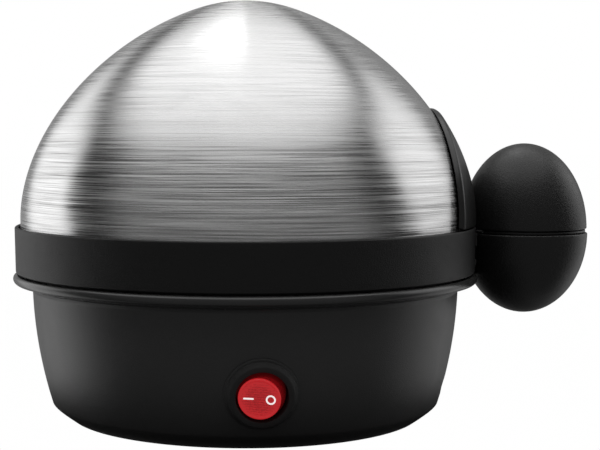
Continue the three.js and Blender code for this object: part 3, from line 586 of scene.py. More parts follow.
def housing_plastic():
    """The base's satin black, polished on the bead and the shelf above the wall."""
    material, net, sockets = shader("base_satin_black", IOR=1.5)
    place = net.on_object()
    given = net.group(MOULDED_GRAIN, **{"Vector": place, "Grain per metre": 3000.0, "Smear": 0.07})
    height = net.parts(place)[2]
    polished = net.ramp(height, (BASE_TOP - 5.6) * MM, (BASE_TOP - 4.6) * MM)
    up = net.parts(net.node("ShaderNodeNewGeometry").outputs["Normal"])[2]
    dusty = net.math("MULTIPLY", net.group(SETTLED_DUST, Vector=place, Up=up)["Mask"], 0.1)
    colour = net.mix(given["Tone"], grey(0.023), grey(0.031))
    net.put(sockets["Base Color"], net.mix(dusty, colour, (0.35, 0.34, 0.32, 1.0)))
    rough = net.math("SUBTRACT", net.math("ADD", 0.38, net.math("MULTIPLY", given["Tone"], 0.06)), given["Polish"])
    net.put(sockets["Roughness"], net.math("SUBTRACT", rough, net.math("MULTIPLY", polished, 0.16)))
    depth = net.math("MULTIPLY", given["Height"], net.math("SUBTRACT", 1.0, net.math("MULTIPLY", polished, 0.8)))
    net.put(sockets["Normal"], bump(net, depth, 0.000018))
    return material


def round_direction(net, centre_x):
    """A point's unit direction from an upright axis, with Object coordinates."""
    place = net.on_object(centre=(centre_x * MM, 0.0, 0.0))
    x, y, _ = net.parts(place)
    return net.vector("NORMALIZE", net.joined(x, y, 0.0)), x, y


NEVER_FADES = (1e3, 2e3)  # distances beyond any sheet's end


def brushed_steel(name, tint, roughness, spread, fineness, lines, anisotropy, depth, fading=NEVER_FADES):
    """Sheet steel brushed round its axis: the lines change its tone and roughness and lie in its bump, and
    the shader spreads reflections across them. Their tone fades between two distances along the sheet."""
    material, net, sockets = shader(name, Metallic=1.0, Anisotropic=anisotropy, Anisotropic_Rotation=0.25)
    direction, x, y = round_direction(net, AXIS_X)
    along = net.node("ShaderNodeAttribute", attribute_name="along").outputs["Fac"]
    given = net.group(ROUND_BRUSHING, Direction=direction, Along=along, Fineness=fineness)
    value = net.math("ADD", net.math("MULTIPLY", given["Lines"], 0.84), net.math("MULTIPLY", given["Bands"], 0.16))
    value = net.math("SUBTRACT", value, net.math("MULTIPLY", given["Scratches"], 0.35))
    strength = net.ramp(along, *fading, 1.0, 0.14)
    value = net.math("ADD", 0.5, net.math("MULTIPLY", net.math("SUBTRACT", value, 0.5), strength))
    darker = [c * (1 - lines) for c in tint] + [1.0]
    lighter = [min(1.0, c * (1 + lines * 0.5)) for c in tint] + [1.0]
    net.put(sockets["Base Color"], net.mix(value, darker, lighter))
    smears = net.noise(net.on_object(), 32.0, 4.0, 0.6, 0.7)
    rough = net.math("ADD", roughness, net.math("MULTIPLY", given["Lines"], spread))
    net.put(sockets["Roughness"], net.math("ADD", rough, net.ramp(smears, 0.52, 0.8, 0.0, 0.05)))
    net.put(sockets["Normal"], bump(net, given["Lines"], depth))
    net.put(sockets["Tangent"], net.vector("NORMALIZE", net.joined(net.math("MULTIPLY", y, -1.0), x, 0.0)))
    return material


def plain_metal(name, dark, light, roughness, scale=900.0, depth=0.00001):
    """Plated or drawn metal: cloudy tone, fine pits, and stains that dull it."""
    material, net, sockets = shader(name, Metallic=1.0)
    place = net.on_object()
    cloud = net.noise(place, scale * 0.2, 4.0, 0.6)
    pits = net.noise(place, scale, 3.0, 0.6)
    stains = net.ramp(net.noise(place, scale * 0.07, 3.0, 0.6), 0.5, 0.7)
    net.put(sockets["Base Color"], net.mix(cloud, dark, light))
    rough = net.math("ADD", roughness, net.math("MULTIPLY", pits, 0.12))
    net.put(sockets["Roughness"], net.math("ADD", rough, net.math("MULTIPLY", stains, 0.12)))
    net.put(sockets["Normal"], bump(net, pits, depth))
    return material


def lit_lens():
    """Clear red plastic over a glowing lamp: the glow gathers towards the rim, dies away down the flank, and
    is crossed by prisms, a sine of the distance up the switch."""
    material, net, sockets = shader("lit_red_lens", IOR=1.49, Emission_Strength=1.0,
                                    Coat_Weight=0.3, Coat_Roughness=0.06)
    prism_pitch = 0.00085
    centre = PIVOT + ROCKER_OUT * FACE_HEIGHT
    place = net.on_object(centre=tuple(centre * MM))
    from_lamp = net.vector("LENGTH", place, output="Value")
    depth = net.vector("DOT_PRODUCT", place, tuple(ROCKER_OUT), output="Value")
    on_face = net.ramp(depth, -0.0011, -0.0004, 0.03, 1.0)
    glow = net.math("MULTIPLY", net.ramp(from_lamp, 0.0035, 0.0068, 0.8, 1.35), on_face)
    speckle = net.noise(place, 1900.0, 2.0, 0.6)
    rise = net.vector("DOT_PRODUCT", place, tuple(SWITCH_UP), output="Value")
    prisms = net.math("SINE", net.math("MULTIPLY", rise, TAU / prism_pitch))
    glow = net.math("MULTIPLY", glow, net.ramp(prisms, -1.0, 1.0, 0.84, 1.1))
    glow = net.math("MULTIPLY", glow, net.ramp(speckle, 0.3, 0.7, 0.72, 1.15))
    net.put(sockets["Emission Color"], net.mix(glow, (0.012, 0.0003, 0.0005, 1.0), (0.38, 0.014, 0.017, 1.0)))
    net.put(sockets["Base Color"], net.mix(speckle, (0.30, 0.004, 0.006, 1.0), (0.42, 0.008, 0.012, 1.0)))
    net.put(sockets["Roughness"], net.ramp(speckle, 0.3, 0.7, 0.12, 0.2))
    return material


def tinted_glass():
    """The lamp's clear glass, faintly amber."""
    material, net, sockets = shader("lamp_glass", IOR=1.5, Transmission_Weight=0.85)
    place = net.on_object()
    net.put(sockets["Base Color"], net.mix(net.noise(place, 700.0), (0.9, 0.62, 0.36, 1.0), (1.0, 0.8, 0.55, 1.0)))
    net.put(sockets["Roughness"], net.ramp(net.noise(place, 1200.0), 0.3, 0.7, 0.03, 0.12))
    return material


def ceramic():
    """Cream steatite with small pores."""
    material, net, sockets = shader("glazed_steatite", IOR=1.55)
    place = net.on_object()
    pores = net.noise(place, 2200.0, 3.0, 0.6)
    net.put(sockets["Base Color"], net.mix(pores, (0.70, 0.66, 0.56, 1.0), (0.84, 0.81, 0.72, 1.0)))
    net.put(sockets["Roughness"], net.ramp(pores, 0.3, 0.7, 0.35, 0.6))
    net.put(sockets["Normal"], bump(net, pores, 0.00003))
    return material


base_black = housing_plastic()
band_black = moulded_plastic("band_matt_black", grey(0.004), grey(0.007), 0.46, 2400.0, 0.00003, 0.06, 0.1, IOR=1.38)
handle_black = moulded_plastic("handle_matt_black", grey(0.008), grey(0.013), 0.31, 2400.0, 0.00003, 0.07, 0.12,
                               IOR=1.4)
shield_black = moulded_plastic("shield_gloss_black", grey(0.0035), grey(0.0055), 0.3, 900.0, 0.000006, 0.05, 0.08)
bezel_black = moulded_plastic("bezel_black", grey(0.012), grey(0.018), 0.68, 3200.0, 0.00001, 0.05, 0.1)
foot_rubber = moulded_plastic("foot_rubber", grey(0.012), grey(0.024), 0.78, 1800.0, 0.00004, 0.04, 0.2)
seal_silicone = moulded_plastic("seal_silicone", (0.36, 0.34, 0.31, 1), (0.44, 0.42, 0.38, 1), 0.6, 1500.0, 0.00002)
brown_insulation = moulded_plastic("brown_insulation", (0.07, 0.03, 0.013, 1), (0.1, 0.042, 0.018, 1), 0.5)
blue_insulation = moulded_plastic("blue_insulation", (0.01, 0.05, 0.18, 1), (0.016, 0.07, 0.24, 1), 0.5)
# The legend's white paint glows: a painted light that stands in for the front light falling on the marks.
legend_white_painted_glow = moulded_plastic("legend_white_painted_glow", grey(0.7), grey(0.85), 0.5, 2500.0, 0.000005, 0.02, 0.0,
                               Emission_Color=(1.0, 0.93, 0.92, 1.0), Emission_Strength=0.75)
lid_steel = brushed_steel("lid_brushed_steel", (0.80, 0.79, 0.79), 0.11, 0.32, 1.0, 0.74, 0.93, 0.0000025, (28.0, 60.0))
pan_steel = brushed_steel("pan_spun_aluminium", (0.78, 0.78, 0.79), 0.3, 0.16, 0.7, 0.2, 0.5, 0.00001)
fitting_steel = plain_metal("zinc_plated_steel", (0.50, 0.51, 0.53, 1), (0.66, 0.67, 0.68, 1), 0.3)
contact_brass = plain_metal("contact_brass", (0.55, 0.38, 0.15, 1), (0.74, 0.55, 0.26, 1), 0.28)
red_lens = lit_lens()
lamp_glass = tinted_glass()
white_ceramic = ceramic()


# ---------------------------------------------------------------- the lid
def lid_outline(steps=84):
    """Half of the lid's outline: straight up from its bottom edge, then a superellipse
    r = R cos(t)^(2/p), z = widest + H sin(t)^(2/q), with a ball in place of its tip."""
    tip_t = math.acos((LID_TIP_RADIUS / LID_RADIUS) ** (LID_POWER_R / 2))

    def at(t):
        """The superellipse at t."""
        r = LID_RADIUS * np.cos(t) ** (2 / LID_POWER_R)
        return np.stack([r, LID_WIDEST + LID_RISE * np.sin(t) ** (2 / LID_POWER_Z)], -1)

    tip, before = at(tip_t), at(tip_t - 1e-4)
    slope = (before[1] - tip[1]) / (tip[0] - before[0])
    centre_z = tip[1] - tip[0] / slope
    ball = math.hypot(tip[0], tip[1] - centre_z)
    lean = math.degrees(math.asin((tip[1] - centre_z) / ball))
    upright = np.column_stack([np.full(6, LID_RADIUS), np.linspace(LID_BOTTOM, LID_WIDEST, 7)[:-1]])
    return np.concatenate([upright, at(np.linspace(0, tip_t, steps)), arc(0, centre_z, ball, lean, 90, 14)[1:]])


LID_LINE = lid_outline()
LID_NORMALS = np.gradient(LID_LINE, axis=0)[:, ::-1] * [1, -1]
LID_NORMALS /= np.linalg.norm(LID_NORMALS, axis=1)[:, None]
LID_NORMALS[0] = LID_NORMALS[1] = [1, 0]
LID_NORMALS[-1] = [0, 1]


def lid_offset(distance):
    """The lid's outline moved outwards along its normals."""
    moved = LID_LINE + LID_NORMALS * distance
    moved[-1, 0] = 0
    return moved


def lid_x(y, z, distance):
    """How far along +X a surface at this distance outside the lid lies, at a point's Y and height."""
    outline = lid_offset(distance)
    radius = np.interp(z, outline[:, 1], outline[:, 0])
    return AXIS_X + np.sqrt(np.maximum(radius**2 - np.asarray(y) ** 2, 0))


def under_lid_skin(distance, low=LID_BOTTOM - 12, count=256):
    """A solid that fills the lid out to a distance outside it."""
    outline = lid_offset(distance)
    bottom = [[0, low], [outline[0, 0], low]]
    return turned_skin(np.concatenate([bottom, outline]), count)


def mark_along(piece, profile):
    """Stores each point's distance in millimetres along a profile, found by how far it is from the bowl's
    axis."""
    points = np.zeros(len(piece.data.vertices) * 3)
    piece.data.vertices.foreach_get("co", points)
    points = points.reshape(-1, 3) / MM
    r = np.hypot(points[:, 0] - AXIS_X, points[:, 1])
    order = np.argsort(profile[:, 0])
    sweep, place = profile[order], travelled(profile)[order]
    value = np.interp(r, sweep[:, 0], place)
    attribute = piece.data.attributes.get("along") or piece.data.attributes.new("along", "FLOAT", "POINT")
    attribute.data.foreach_set("value", value.astype(np.float32))


def mark_along_lid(piece):
    """Stores each point's distance along the lid's outline, found by its angle above the widest level."""
    points = np.zeros(len(piece.data.vertices) * 3)
    piece.data.vertices.foreach_get("co", points)
    points = points.reshape(-1, 3) / MM
    angle = np.arctan2(points[:, 2] - LID_WIDEST, np.hypot(points[:, 0] - AXIS_X, points[:, 1]))
    line_angle = np.arctan2(LID_LINE[:, 1] - LID_WIDEST, LID_LINE[:, 0])
    value = np.interp(angle, line_angle, travelled(LID_LINE))
    piece.data.attributes.new("along", "FLOAT", "POINT").data.foreach_set("value", value.astype(np.float32))


def lid_dome():
    """Pressed steel: the outline outside, the same 0.8 mm inside, and a rounded lower edge; a steam hole behind
    and two screw holes under the shield."""
    inner = lid_offset(-SHEET)
    edge = arc(LID_RADIUS - SHEET / 2, LID_BOTTOM + SHEET / 2, SHEET / 2, 0, -180, 6)
    outer_line = LID_LINE[LID_LINE[:, 1] > LID_BOTTOM + 0.5]
    inner_line = inner[inner[:, 1] > LID_BOTTOM + 0.5][::-1]
    dome = turned_skin(np.concatenate([outer_line[::-1], edge, inner_line[::-1]]), 256).made("steel_lid")
    vent_z = LID_WIDEST + 0.7 * LID_RISE
    vent_y = np.interp(vent_z, LID_LINE[:, 1], LID_LINE[:, 0])
    vent = rod_skin(2.0, [AXIS_X, vent_y - 8, vent_z - 6], [AXIS_X, vent_y + 8, vent_z + 6], 32).made("vent")
    starts = [np.array([AXIS_X + 60, y, LID_SCREW_Z]) for y in LID_SCREW_YS]
    cut(dome, vent, *[rod_skin(1.7, start, start + [40, 0, 0]).made("screw_hole") for start in starts])
    finished(dome, lid_steel, 40)
    mark_along_lid(dome)
    return settle(dome, "lid", "lid_steel", "lid_dome")


def shield_rim(steps=150, corner=2.4):
    """The shield's edge seen along X, as Y and height: a circle about a centre just under its straight bottom,
    with rounded lower corners."""
    reach = math.sqrt(SHIELD_RADIUS**2 - (SHIELD_BOTTOM - SHIELD_CENTRE_Z) ** 2)
    start = math.degrees(math.asin((SHIELD_BOTTOM - SHIELD_CENTRE_Z) / SHIELD_RADIUS))
    lift = math.degrees(corner / SHIELD_RADIUS)
    bow = arc(0, SHIELD_CENTRE_Z, SHIELD_RADIUS, start + lift, 180 - start - lift, steps)
    right, left = [reach, SHIELD_BOTTOM], [-reach, SHIELD_BOTTOM]
    corner_right = rounded([[reach - corner, SHIELD_BOTTOM], right, bow[0]], corner, 6)
    corner_left = rounded([bow[-1], left, [corner - reach, SHIELD_BOTTOM]], corner, 6)
    floor = np.column_stack([np.linspace(corner - reach, reach - corner, 60)[1:-1], np.full(58, SHIELD_BOTTOM)])
    return np.concatenate([corner_right, bow[1:-1], corner_left, floor])


def lid_shield():
    """A half-round moulding that follows the lid. Each row of points is its rim drawn inwards by an inset and
    lifted off the lid by a height: a face with a rounded edge, a side, a foot and a hollow back."""
    rim = shield_rim()
    run = np.roll(rim, -1, 0) - np.roll(rim, 1, 0)
    inward = np.stack([-run[:, 1], run[:, 0]], 1) / np.linalg.norm(run, axis=1)[:, None]
    centre = np.array([0, SHIELD_BOTTOM + 17])
    turn = np.radians(np.linspace(90, 0, 7))
    edge, foot = 0.7, 0.35
    inset = np.concatenate([edge * (1 - np.cos(turn)), [0, 0, 0.2, SHIELD_WALL - 0.2, SHIELD_WALL, SHIELD_WALL]])
    lift = [foot + 0.6, foot + 0.2, foot, foot, foot + 0.2, SHIELD_PROUD - SHIELD_WALL]
    lift = np.concatenate([SHIELD_PROUD - edge * (1 - np.sin(turn)), lift])
    shares = np.linspace(0.0, 1, 26)
    rows = []
    for share in shares:
        flat = centre + (rim + inward * (edge + 0.4) - centre) * share
        rows.append((flat, SHIELD_PROUD))
    rows += [(rim + inward * i, h) for i, h in zip(inset, lift)]
    for share in shares[::-1]:
        flat = centre + (rim + inward * SHIELD_WALL - centre) * share
        rows.append((flat, SHIELD_PROUD - SHIELD_WALL))
    grid = [np.column_stack([lid_x(f[:, 0], f[:, 1], h), f[:, 0], f[:, 1]]) for f, h in rows]
    shield = Skin().grid(np.array(grid)).made("lid_heat_shield", shield_black, 50)
    return settle(shield, "lid", "shield_black", "lid_shield")


# ---------------------------------------------------------------- half-egg handles
def half_egg(radius, height, z, way, lip=0.0):
    """Half an ellipsoid with a flat face at a height; with a lip its edge is rounded."""
    outside = ellipse_quarter(radius, height, z, way)
    if lip:
        outside = outside[(z - outside[:, 1]) * -way > lip]
        corner = arc(radius - lip, z + way * lip, lip, 0, -90 * way, 5)
        outside = np.concatenate([outside, corner])
    return turned_skin(np.concatenate([outside, [[0, z]]]), 144, x=HANDLE_X)


def bowl_cylinder(radius, low=20, high=90):
    """A plain cylinder about the bowl's axis, to cut the handles' inner sides with."""
    return turned_skin([[0, low], [radius, low], [radius, high], [0, high]], 360)


def lower_handle():
    """The lower half of the egg: a 2 mm shell with a flat side towards the bowl, a screw boss and a slot for the
    tray's tongue."""
    flat = RIM_RADIUS + 0.9
    shell = half_egg(LOWER_RADIUS, LOWER_HEIGHT, LOWER_TOP, -1, 0.5).made("lower_egg_half")
    hollow = half_egg(LOWER_RADIUS - HANDLE_WALL, LOWER_HEIGHT - HANDLE_WALL, LOWER_TOP + 0.01, -1).made("hollow")
    cut(hollow, bowl_cylinder(flat + HANDLE_WALL).made("c"))
    cut(shell, bowl_cylinder(flat).made("c"), hollow)
    boss_top = TONGUE_TOP - 4 - GAP
    foot = LOWER_TOP - LOWER_HEIGHT * 0.92
    joined(shell, rod_skin(4.0, [HANDLE_SCREW_X, 0, foot], [HANDLE_SCREW_X, 0, boss_top], 40).made("b"))
    slot = bar_skin([AXIS_X + RIM_RADIUS - 2, -9.3, boss_top], [HANDLE_X - 6, 9.3, TONGUE_TOP + GAP], 0.2)
    pilot = rod_skin(1.5, [HANDLE_SCREW_X, 0, boss_top - 13], [HANDLE_SCREW_X, 0, boss_top + 1], 36)
    cut(shell, slot.made("slot"), pilot.made("pilot_hole"))
    finished(shell, handle_black, 35)
    settle(shell, "tray", "handle_black", "lower_handle_shell")
    radius = LOWER_RADIUS - HANDLE_WALL - GAP
    line = [[0, LOWER_TOP - 2], [radius - 2, LOWER_TOP - 2], [radius - 2, LOWER_TOP - 3.4]]
    line += [[radius - 0.5, LOWER_TOP - 3.4], [radius, LOWER_TOP - 1], [radius, LOWER_TOP], [0, LOWER_TOP]]
    cap = turned_skin(rounded(line, 0.4), 144, x=HANDLE_X).made("lower_egg_cap")
    cut(cap, bowl_cylinder(flat + HANDLE_WALL + GAP).made("c"))
    settle(finished(cap, handle_black, 35), "tray", "handle_black", "lower_handle_cap")
    seat = TONGUE_TOP + GAP
    screw = screw_skin([HANDLE_SCREW_X, 0, seat], [0, 0, -1], 1.2, 14.0, 3.1, 2.0)
    settle(screw.made("lower_handle_screw", fitting_steel, 35), "tray", "fitting_steel", "lower_handle_screw")


def upper_handle():
    """The upper half of the egg, cut to the shield's face, and its plug with the lip that fills the gap."""
    shell = half_egg(UPPER_RADIUS, UPPER_HEIGHT, UPPER_BOTTOM, 1, 0.5).made("upper_egg_half")
    inner = half_egg(UPPER_RADIUS - HANDLE_WALL, UPPER_HEIGHT - HANDLE_WALL, UPPER_BOTTOM - 0.01, 1).made("hollow")
    cut(inner, under_lid_skin(SHIELD_PROUD + GAP + HANDLE_WALL).made("c"))
    cut(shell, inner)
    for y in LID_SCREW_YS:
        boss = rod_skin(4.0, [HANDLE_X - 24, y, LID_SCREW_Z], [HANDLE_X - 2, y, LID_SCREW_Z], 40).made("boss")
        combined(boss, "INTERSECT", half_egg(UPPER_RADIUS - 0.2, UPPER_HEIGHT - 0.2, UPPER_BOTTOM, 1).made("within"))
        joined(shell, boss)
    cut(shell, under_lid_skin(SHIELD_PROUD + 0.03).made("c"))
    for y in LID_SCREW_YS:
        cut(shell, rod_skin(1.5, [HANDLE_X - 36, y, LID_SCREW_Z], [HANDLE_X - 4, y, LID_SCREW_Z]).made("p"))
    settle(finished(shell, handle_black, 35), "lid", "handle_black", "upper_handle_shell")
    radius, lip = UPPER_RADIUS - HANDLE_WALL - GAP, UPPER_RADIUS - 0.5
    line = [[0, LOWER_TOP + GAP], [lip, LOWER_TOP + GAP], [lip, UPPER_BOTTOM - GAP], [radius, UPPER_BOTTOM - GAP]]
    line += [[radius, UPPER_BOTTOM + 2], [0, UPPER_BOTTOM + 2]]
    cap = turned_skin(rounded(line, 0.25), 144, x=HANDLE_X).made("upper_egg_plug")
    cut(cap, bowl_cylinder(LID_RADIUS + SHIELD_PROUD + HANDLE_WALL + 2 * GAP + 0.4).made("c"))
    settle(finished(cap, handle_black, 35), "lid", "handle_black", "upper_handle_cap")


def screw_skin(seat, away, radius, length, head_radius, head_height):
    """A screw whose head rests at a seat and whose shank runs along a direction: a domed head with a cross
    recess worked into it, and a tapered end. The recess sinks the head's points near its two crossed slots."""
    axis, side, other = basis(away)
    t = np.linspace(0, 1, 17)[:, None] * math.pi / 2
    crown = np.concatenate([head_radius * np.sin(t), head_height * (0.45 + 0.55 * np.cos(t))], 1)
    shank = [[head_radius, 0], [radius, 0], [radius, -(length - 1.2)], [0, -length], [0, -length]]
    rings = np.concatenate([refined(crown, head_radius / 16), shank])
    a = even(64)
    r, level = rings[:, 0, None], np.repeat(rings[:, 1, None], 64, 1)
    u, v = r * np.cos(a), r * np.sin(a)
    slot_half, arm = head_radius * 0.16, head_radius * 0.62
    along_u = np.maximum(np.abs(v) - slot_half, np.abs(u) - arm)
    along_v = np.maximum(np.abs(u) - slot_half, np.abs(v) - arm)
    near = np.minimum(along_v, along_u)
    sink = np.clip(-near / (head_radius * 0.07) + 0.5, 0, 1) * head_height * 0.55
    level = level - np.where(level > 0.01, sink, 0)
    points = np.asarray(seat) + u[..., None] * side + v[..., None] * other - level[..., None] * axis
    return Skin().grid(points)


def lid_fastenings():
    """The bent plate inside the lid, a grid whose corner points are drawn in to a circle, and its two screws."""
    corner = 2
    wide, tall = 12 - corner, 5.5 - corner
    outer, inner = -SHEET - GAP, -SHEET - GAP - 1.2
    y, up = np.meshgrid(np.linspace(-12, 12, 65), np.linspace(-5.5, 5.5, 25))
    outline = np.maximum(np.abs(y) - wide, 0) ** 2 + np.maximum(np.abs(up) - tall, 0) ** 2
    shrink = np.where(outline > corner**2, corner / np.sqrt(np.maximum(outline, 1e-9)), 1)
    y = np.sign(y) * np.where(np.abs(y) > wide, wide + (np.abs(y) - wide) * shrink, np.abs(y))
    z = LID_SCREW_Z + np.sign(up) * np.where(np.abs(up) > tall, tall + (np.abs(up) - tall) * shrink, np.abs(up))
    skin = Skin()
    faces = [np.stack([lid_x(y, z, d), y, z], -1) for d in (outer, inner)]
    for face in faces:
        skin.grid(face, wrap=False)
    edges = [np.concatenate([f[0, :-1], f[:-1, -1], f[-1, :0:-1], f[:0:-1, 0]]) for f in faces]
    skin.grid(np.array(edges))
    plate = skin.made("lid_inner_plate", fitting_steel, 35)
    settle(plate, "lid", "fitting_steel", "lid_inner_plate")
    low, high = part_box("lid_screw_1")
    head, end = low[0] / MM, high[0] / MM
    for index, y in enumerate(LID_SCREW_YS, 1):
        screw = screw_skin([head + 2, y, LID_SCREW_Z], [1, 0, 0], 1.2, end - head - 2, 2.8, 2.0)
        piece = screw.made(f"lid_screw_{index}", fitting_steel, 35)
        settle(piece, "lid", "fitting_steel", f"lid_screw_{index}")


# ---------------------------------------------------------------- the egg tray
def egg_tray():
    """One moulding: a band, a channel for the lid, a skirt into the pan, a plate with seven egg holes and six
    steam holes, and the tongue that carries the handle."""
    plate_edge = TRAY_INNER - 2
    skirt_bottom = PAN_TOP + GAP
    seat = BAND_TOP - 3.7
    channel_outer = RIM_RADIUS - 1.35
    foot, band_low = RIM_RADIUS - 0.3, BASE_TOP + 0.7
    top_side = rounded([
        [plate_edge, EGG_PLATE], [TRAY_INNER, EGG_PLATE], [TRAY_INNER, seat], [channel_outer, seat],
        [channel_outer, BAND_TOP], [RIM_RADIUS, BAND_TOP], [foot, band_low], [foot - 1.75, band_low],
        [foot - 1.75, seat - 1.7], [TRAY_INNER + 1.8, seat - 1.7], [TRAY_INNER + 1.8, skirt_bottom],
        [TRAY_INNER, skirt_bottom], [TRAY_INNER, EGG_PLATE - 2], [plate_edge, EGG_PLATE - 2],
    ], [0, 0.8, 0.5, 0.4, 0.45, 0.7, 0.45, 0.4, 0.5, 0.5, 0.5, 0.5, 0.5, 0])
    count = 288
    skin = Skin().grid(turned(refined(top_side, 2.5), even(count)))
    holes = [(AXIS_X, 0.0, EGG_HOLE, 96)]
    for i in range(6):
        a, b = math.radians(60 * i), math.radians(60 * i + 30)
        holes.append((AXIS_X + EGG_CIRCLE * math.cos(a), EGG_CIRCLE * math.sin(a), EGG_HOLE, 96))
        holes.append((AXIS_X + 66 * math.cos(b), 66 * math.sin(b), 3.5, 40))
    a = even(count)
    outline = np.column_stack([AXIS_X + plate_edge * np.cos(a), plate_edge * np.sin(a)])
    plate_with_lips(skin, outline, holes, EGG_PLATE - 2, EGG_PLATE, 0.8)
    tray = skin.made("egg_tray_moulding")
    tongue = bar_skin([AXIS_X + foot - 1.2, -9, TONGUE_TOP - 4], [HANDLE_X + 2, 9, TONGUE_TOP], 0.5).made("tongue")
    joined(tray, tongue)
    hole = rod_skin(1.7, [HANDLE_SCREW_X, 0, TONGUE_TOP - 9], [HANDLE_SCREW_X, 0, TONGUE_TOP + 5])
    cut(tray, hole.made("screw_hole"))
    finished(tray, band_black, 40)
    return settle(tray, "tray", "tray_black", "egg_tray")


def plate_with_lips(skin, outline, holes, low, high, lip):
    """The plate's two flats, Delaunay triangles between an outline and the holes, and a rounded wall in each
    hole. A narrow flat ring round each hole keeps the flats level up to the lips."""
    turn = np.linspace(0, math.pi / 2, 6)
    over = [(lip + 0.5, high)] + [(lip * (1 - math.sin(a)), high - lip * (1 - math.cos(a))) for a in turn]
    under = [(r, low + high - z) for r, z in over[::-1]]
    rims = [outline]
    for x, y, radius, sides in holes:
        ring = np.stack([np.cos(even(sides)), np.sin(even(sides))], 1)
        rows = [np.column_stack([[x, y] + (radius + out) * ring, np.full(sides, z)]) for out, z in over + under]
        skin.grid(np.array(rows))
        rims.append([x, y] + (radius + lip + 0.5) * ring)
    edges, start = [], 0
    for rim in rims:
        edges += [(start + i, start + (i + 1) % len(rim)) for i in range(len(rim))]
        start += len(rim)
    found = delaunay_2d_cdt([Vector(p) for p in np.concatenate(rims)], edges, [], 1, 1e-6)
    points = np.array([tuple(p) for p in found[0]])
    faces = np.array([list(f) for f in found[2]])
    middle = points[faces].mean(1)
    keep = np.ones(len(faces), bool)
    for x, y, radius, sides in holes:
        inside_rim = (radius + lip + 0.5) * math.cos(1.5 * math.pi / sides)
        keep &= np.hypot(middle[:, 0] - x, middle[:, 1] - y) > inside_rim
    for level in (low, high):
        skin.cells(np.column_stack([points, np.full(len(points), level)]), faces[keep])


# ---------------------------------------------------------------- the base
def wall_centre():
    """Centre of the arc that bulges outwards through the wall's top and bottom points."""
    middle, chord = (WALL_TOP + WALL_BOTTOM) / 2, WALL_TOP - WALL_BOTTOM
    length = np.linalg.norm(chord)
    inward = np.array([-chord[1], chord[0]]) / length
    return middle + inward * math.sqrt(WALL_CURVE**2 - length**2 / 4)


WALL_CENTRE = wall_centre()


def wall_radius(z, inset=0.0):
    """The radius, at a height, of the wall or of a line drawn in from it by an inset."""
    return WALL_CENTRE[0] + np.sqrt((WALL_CURVE - inset) ** 2 - (z - WALL_CENTRE[1]) ** 2)


def wall_line(low, high, inset, steps):
    """A stretch of the wall, or of a line drawn in from it, between two heights."""
    z = np.linspace(low, high, steps)
    return np.column_stack([wall_radius(z, inset), z])


def recess_radius(angle, z):
    """How far from the bowl's axis the cord recess leaves the wall's outer face: a groove turned about an axis
    set towards the recess, so that it dies out sideways, with a half-ellipse section. Elsewhere it is far."""
    wall = wall_radius(RECESS_Z)
    floor = wall - RECESS_DEPTH
    edge = wall * np.array([math.cos(RECESS_HALF_ANGLE), math.sin(RECESS_HALF_ANGLE)])
    axis = (floor**2 - edge @ edge) / (2 * (floor - edge[0]))
    drop = np.clip(np.abs(z - RECESS_Z) / RECESS_HALF_HEIGHT, 0, 1)
    groove = floor - axis + RECESS_HALF_HEIGHT * (1 - np.sqrt(1 - drop**2))
    groove = np.where(drop < 1, groove, groove + 30)
    inside = np.maximum(groove**2 - (axis * np.sin(angle)) ** 2, 0)
    made = axis * np.cos(angle) + np.sqrt(inside)
    return np.where(np.abs(angle) < math.radians(60), made, 1e3)


def smooth_least(a, b, blend):
    """The smaller of two values, rounded where they cross."""
    h = np.clip(0.5 + 0.5 * (b - a) / blend, 0, 1)
    return b * (1 - h) + a * h - blend * h * (1 - h)


def skewed_block_skin(angle, inner, outer_inset, half, low, high):
    """A rib from a radius out into the wall, whose outer side leans with the wall."""
    corners = []
    for z in (low, high):
        outer = wall_radius(z, outer_inset)
        corners += [[inner, -half, z], [outer, -half, z], [outer, half, z], [inner, half, z]]
    corners = np.array(corners)
    a = math.radians(angle)
    x = AXIS_X + corners[:, 0] * math.cos(a) - corners[:, 1] * math.sin(a)
    y = corners[:, 0] * math.sin(a) + corners[:, 1] * math.cos(a)
    faces = [[0, 1, 2], [0, 2, 3], [4, 5, 6], [4, 6, 7], [0, 1, 5], [0, 5, 4], [1, 2, 6], [1, 6, 5]]
    faces += [[2, 3, 7], [2, 7, 6], [3, 0, 4], [3, 4, 7]]
    return Skin().cells(np.column_stack([x, y, corners[:, 2]]), faces)


COVER_SCREW_CIRCLE = 55
COVER_SCREW_ANGLES = (60, 180, 300)
FOOT_CIRCLE = 50
STUD_CIRCLE = 52
BRACKET_ANGLES = (90, 210, 330)
FOOT_ANGLES = (45, 135, 225, 315)
COVER_TOP = cover_high[2]
COVER_UNDER = 2.6
BRACKET_Z = PAN_UNDER - GAP - 7.4 + 4.2


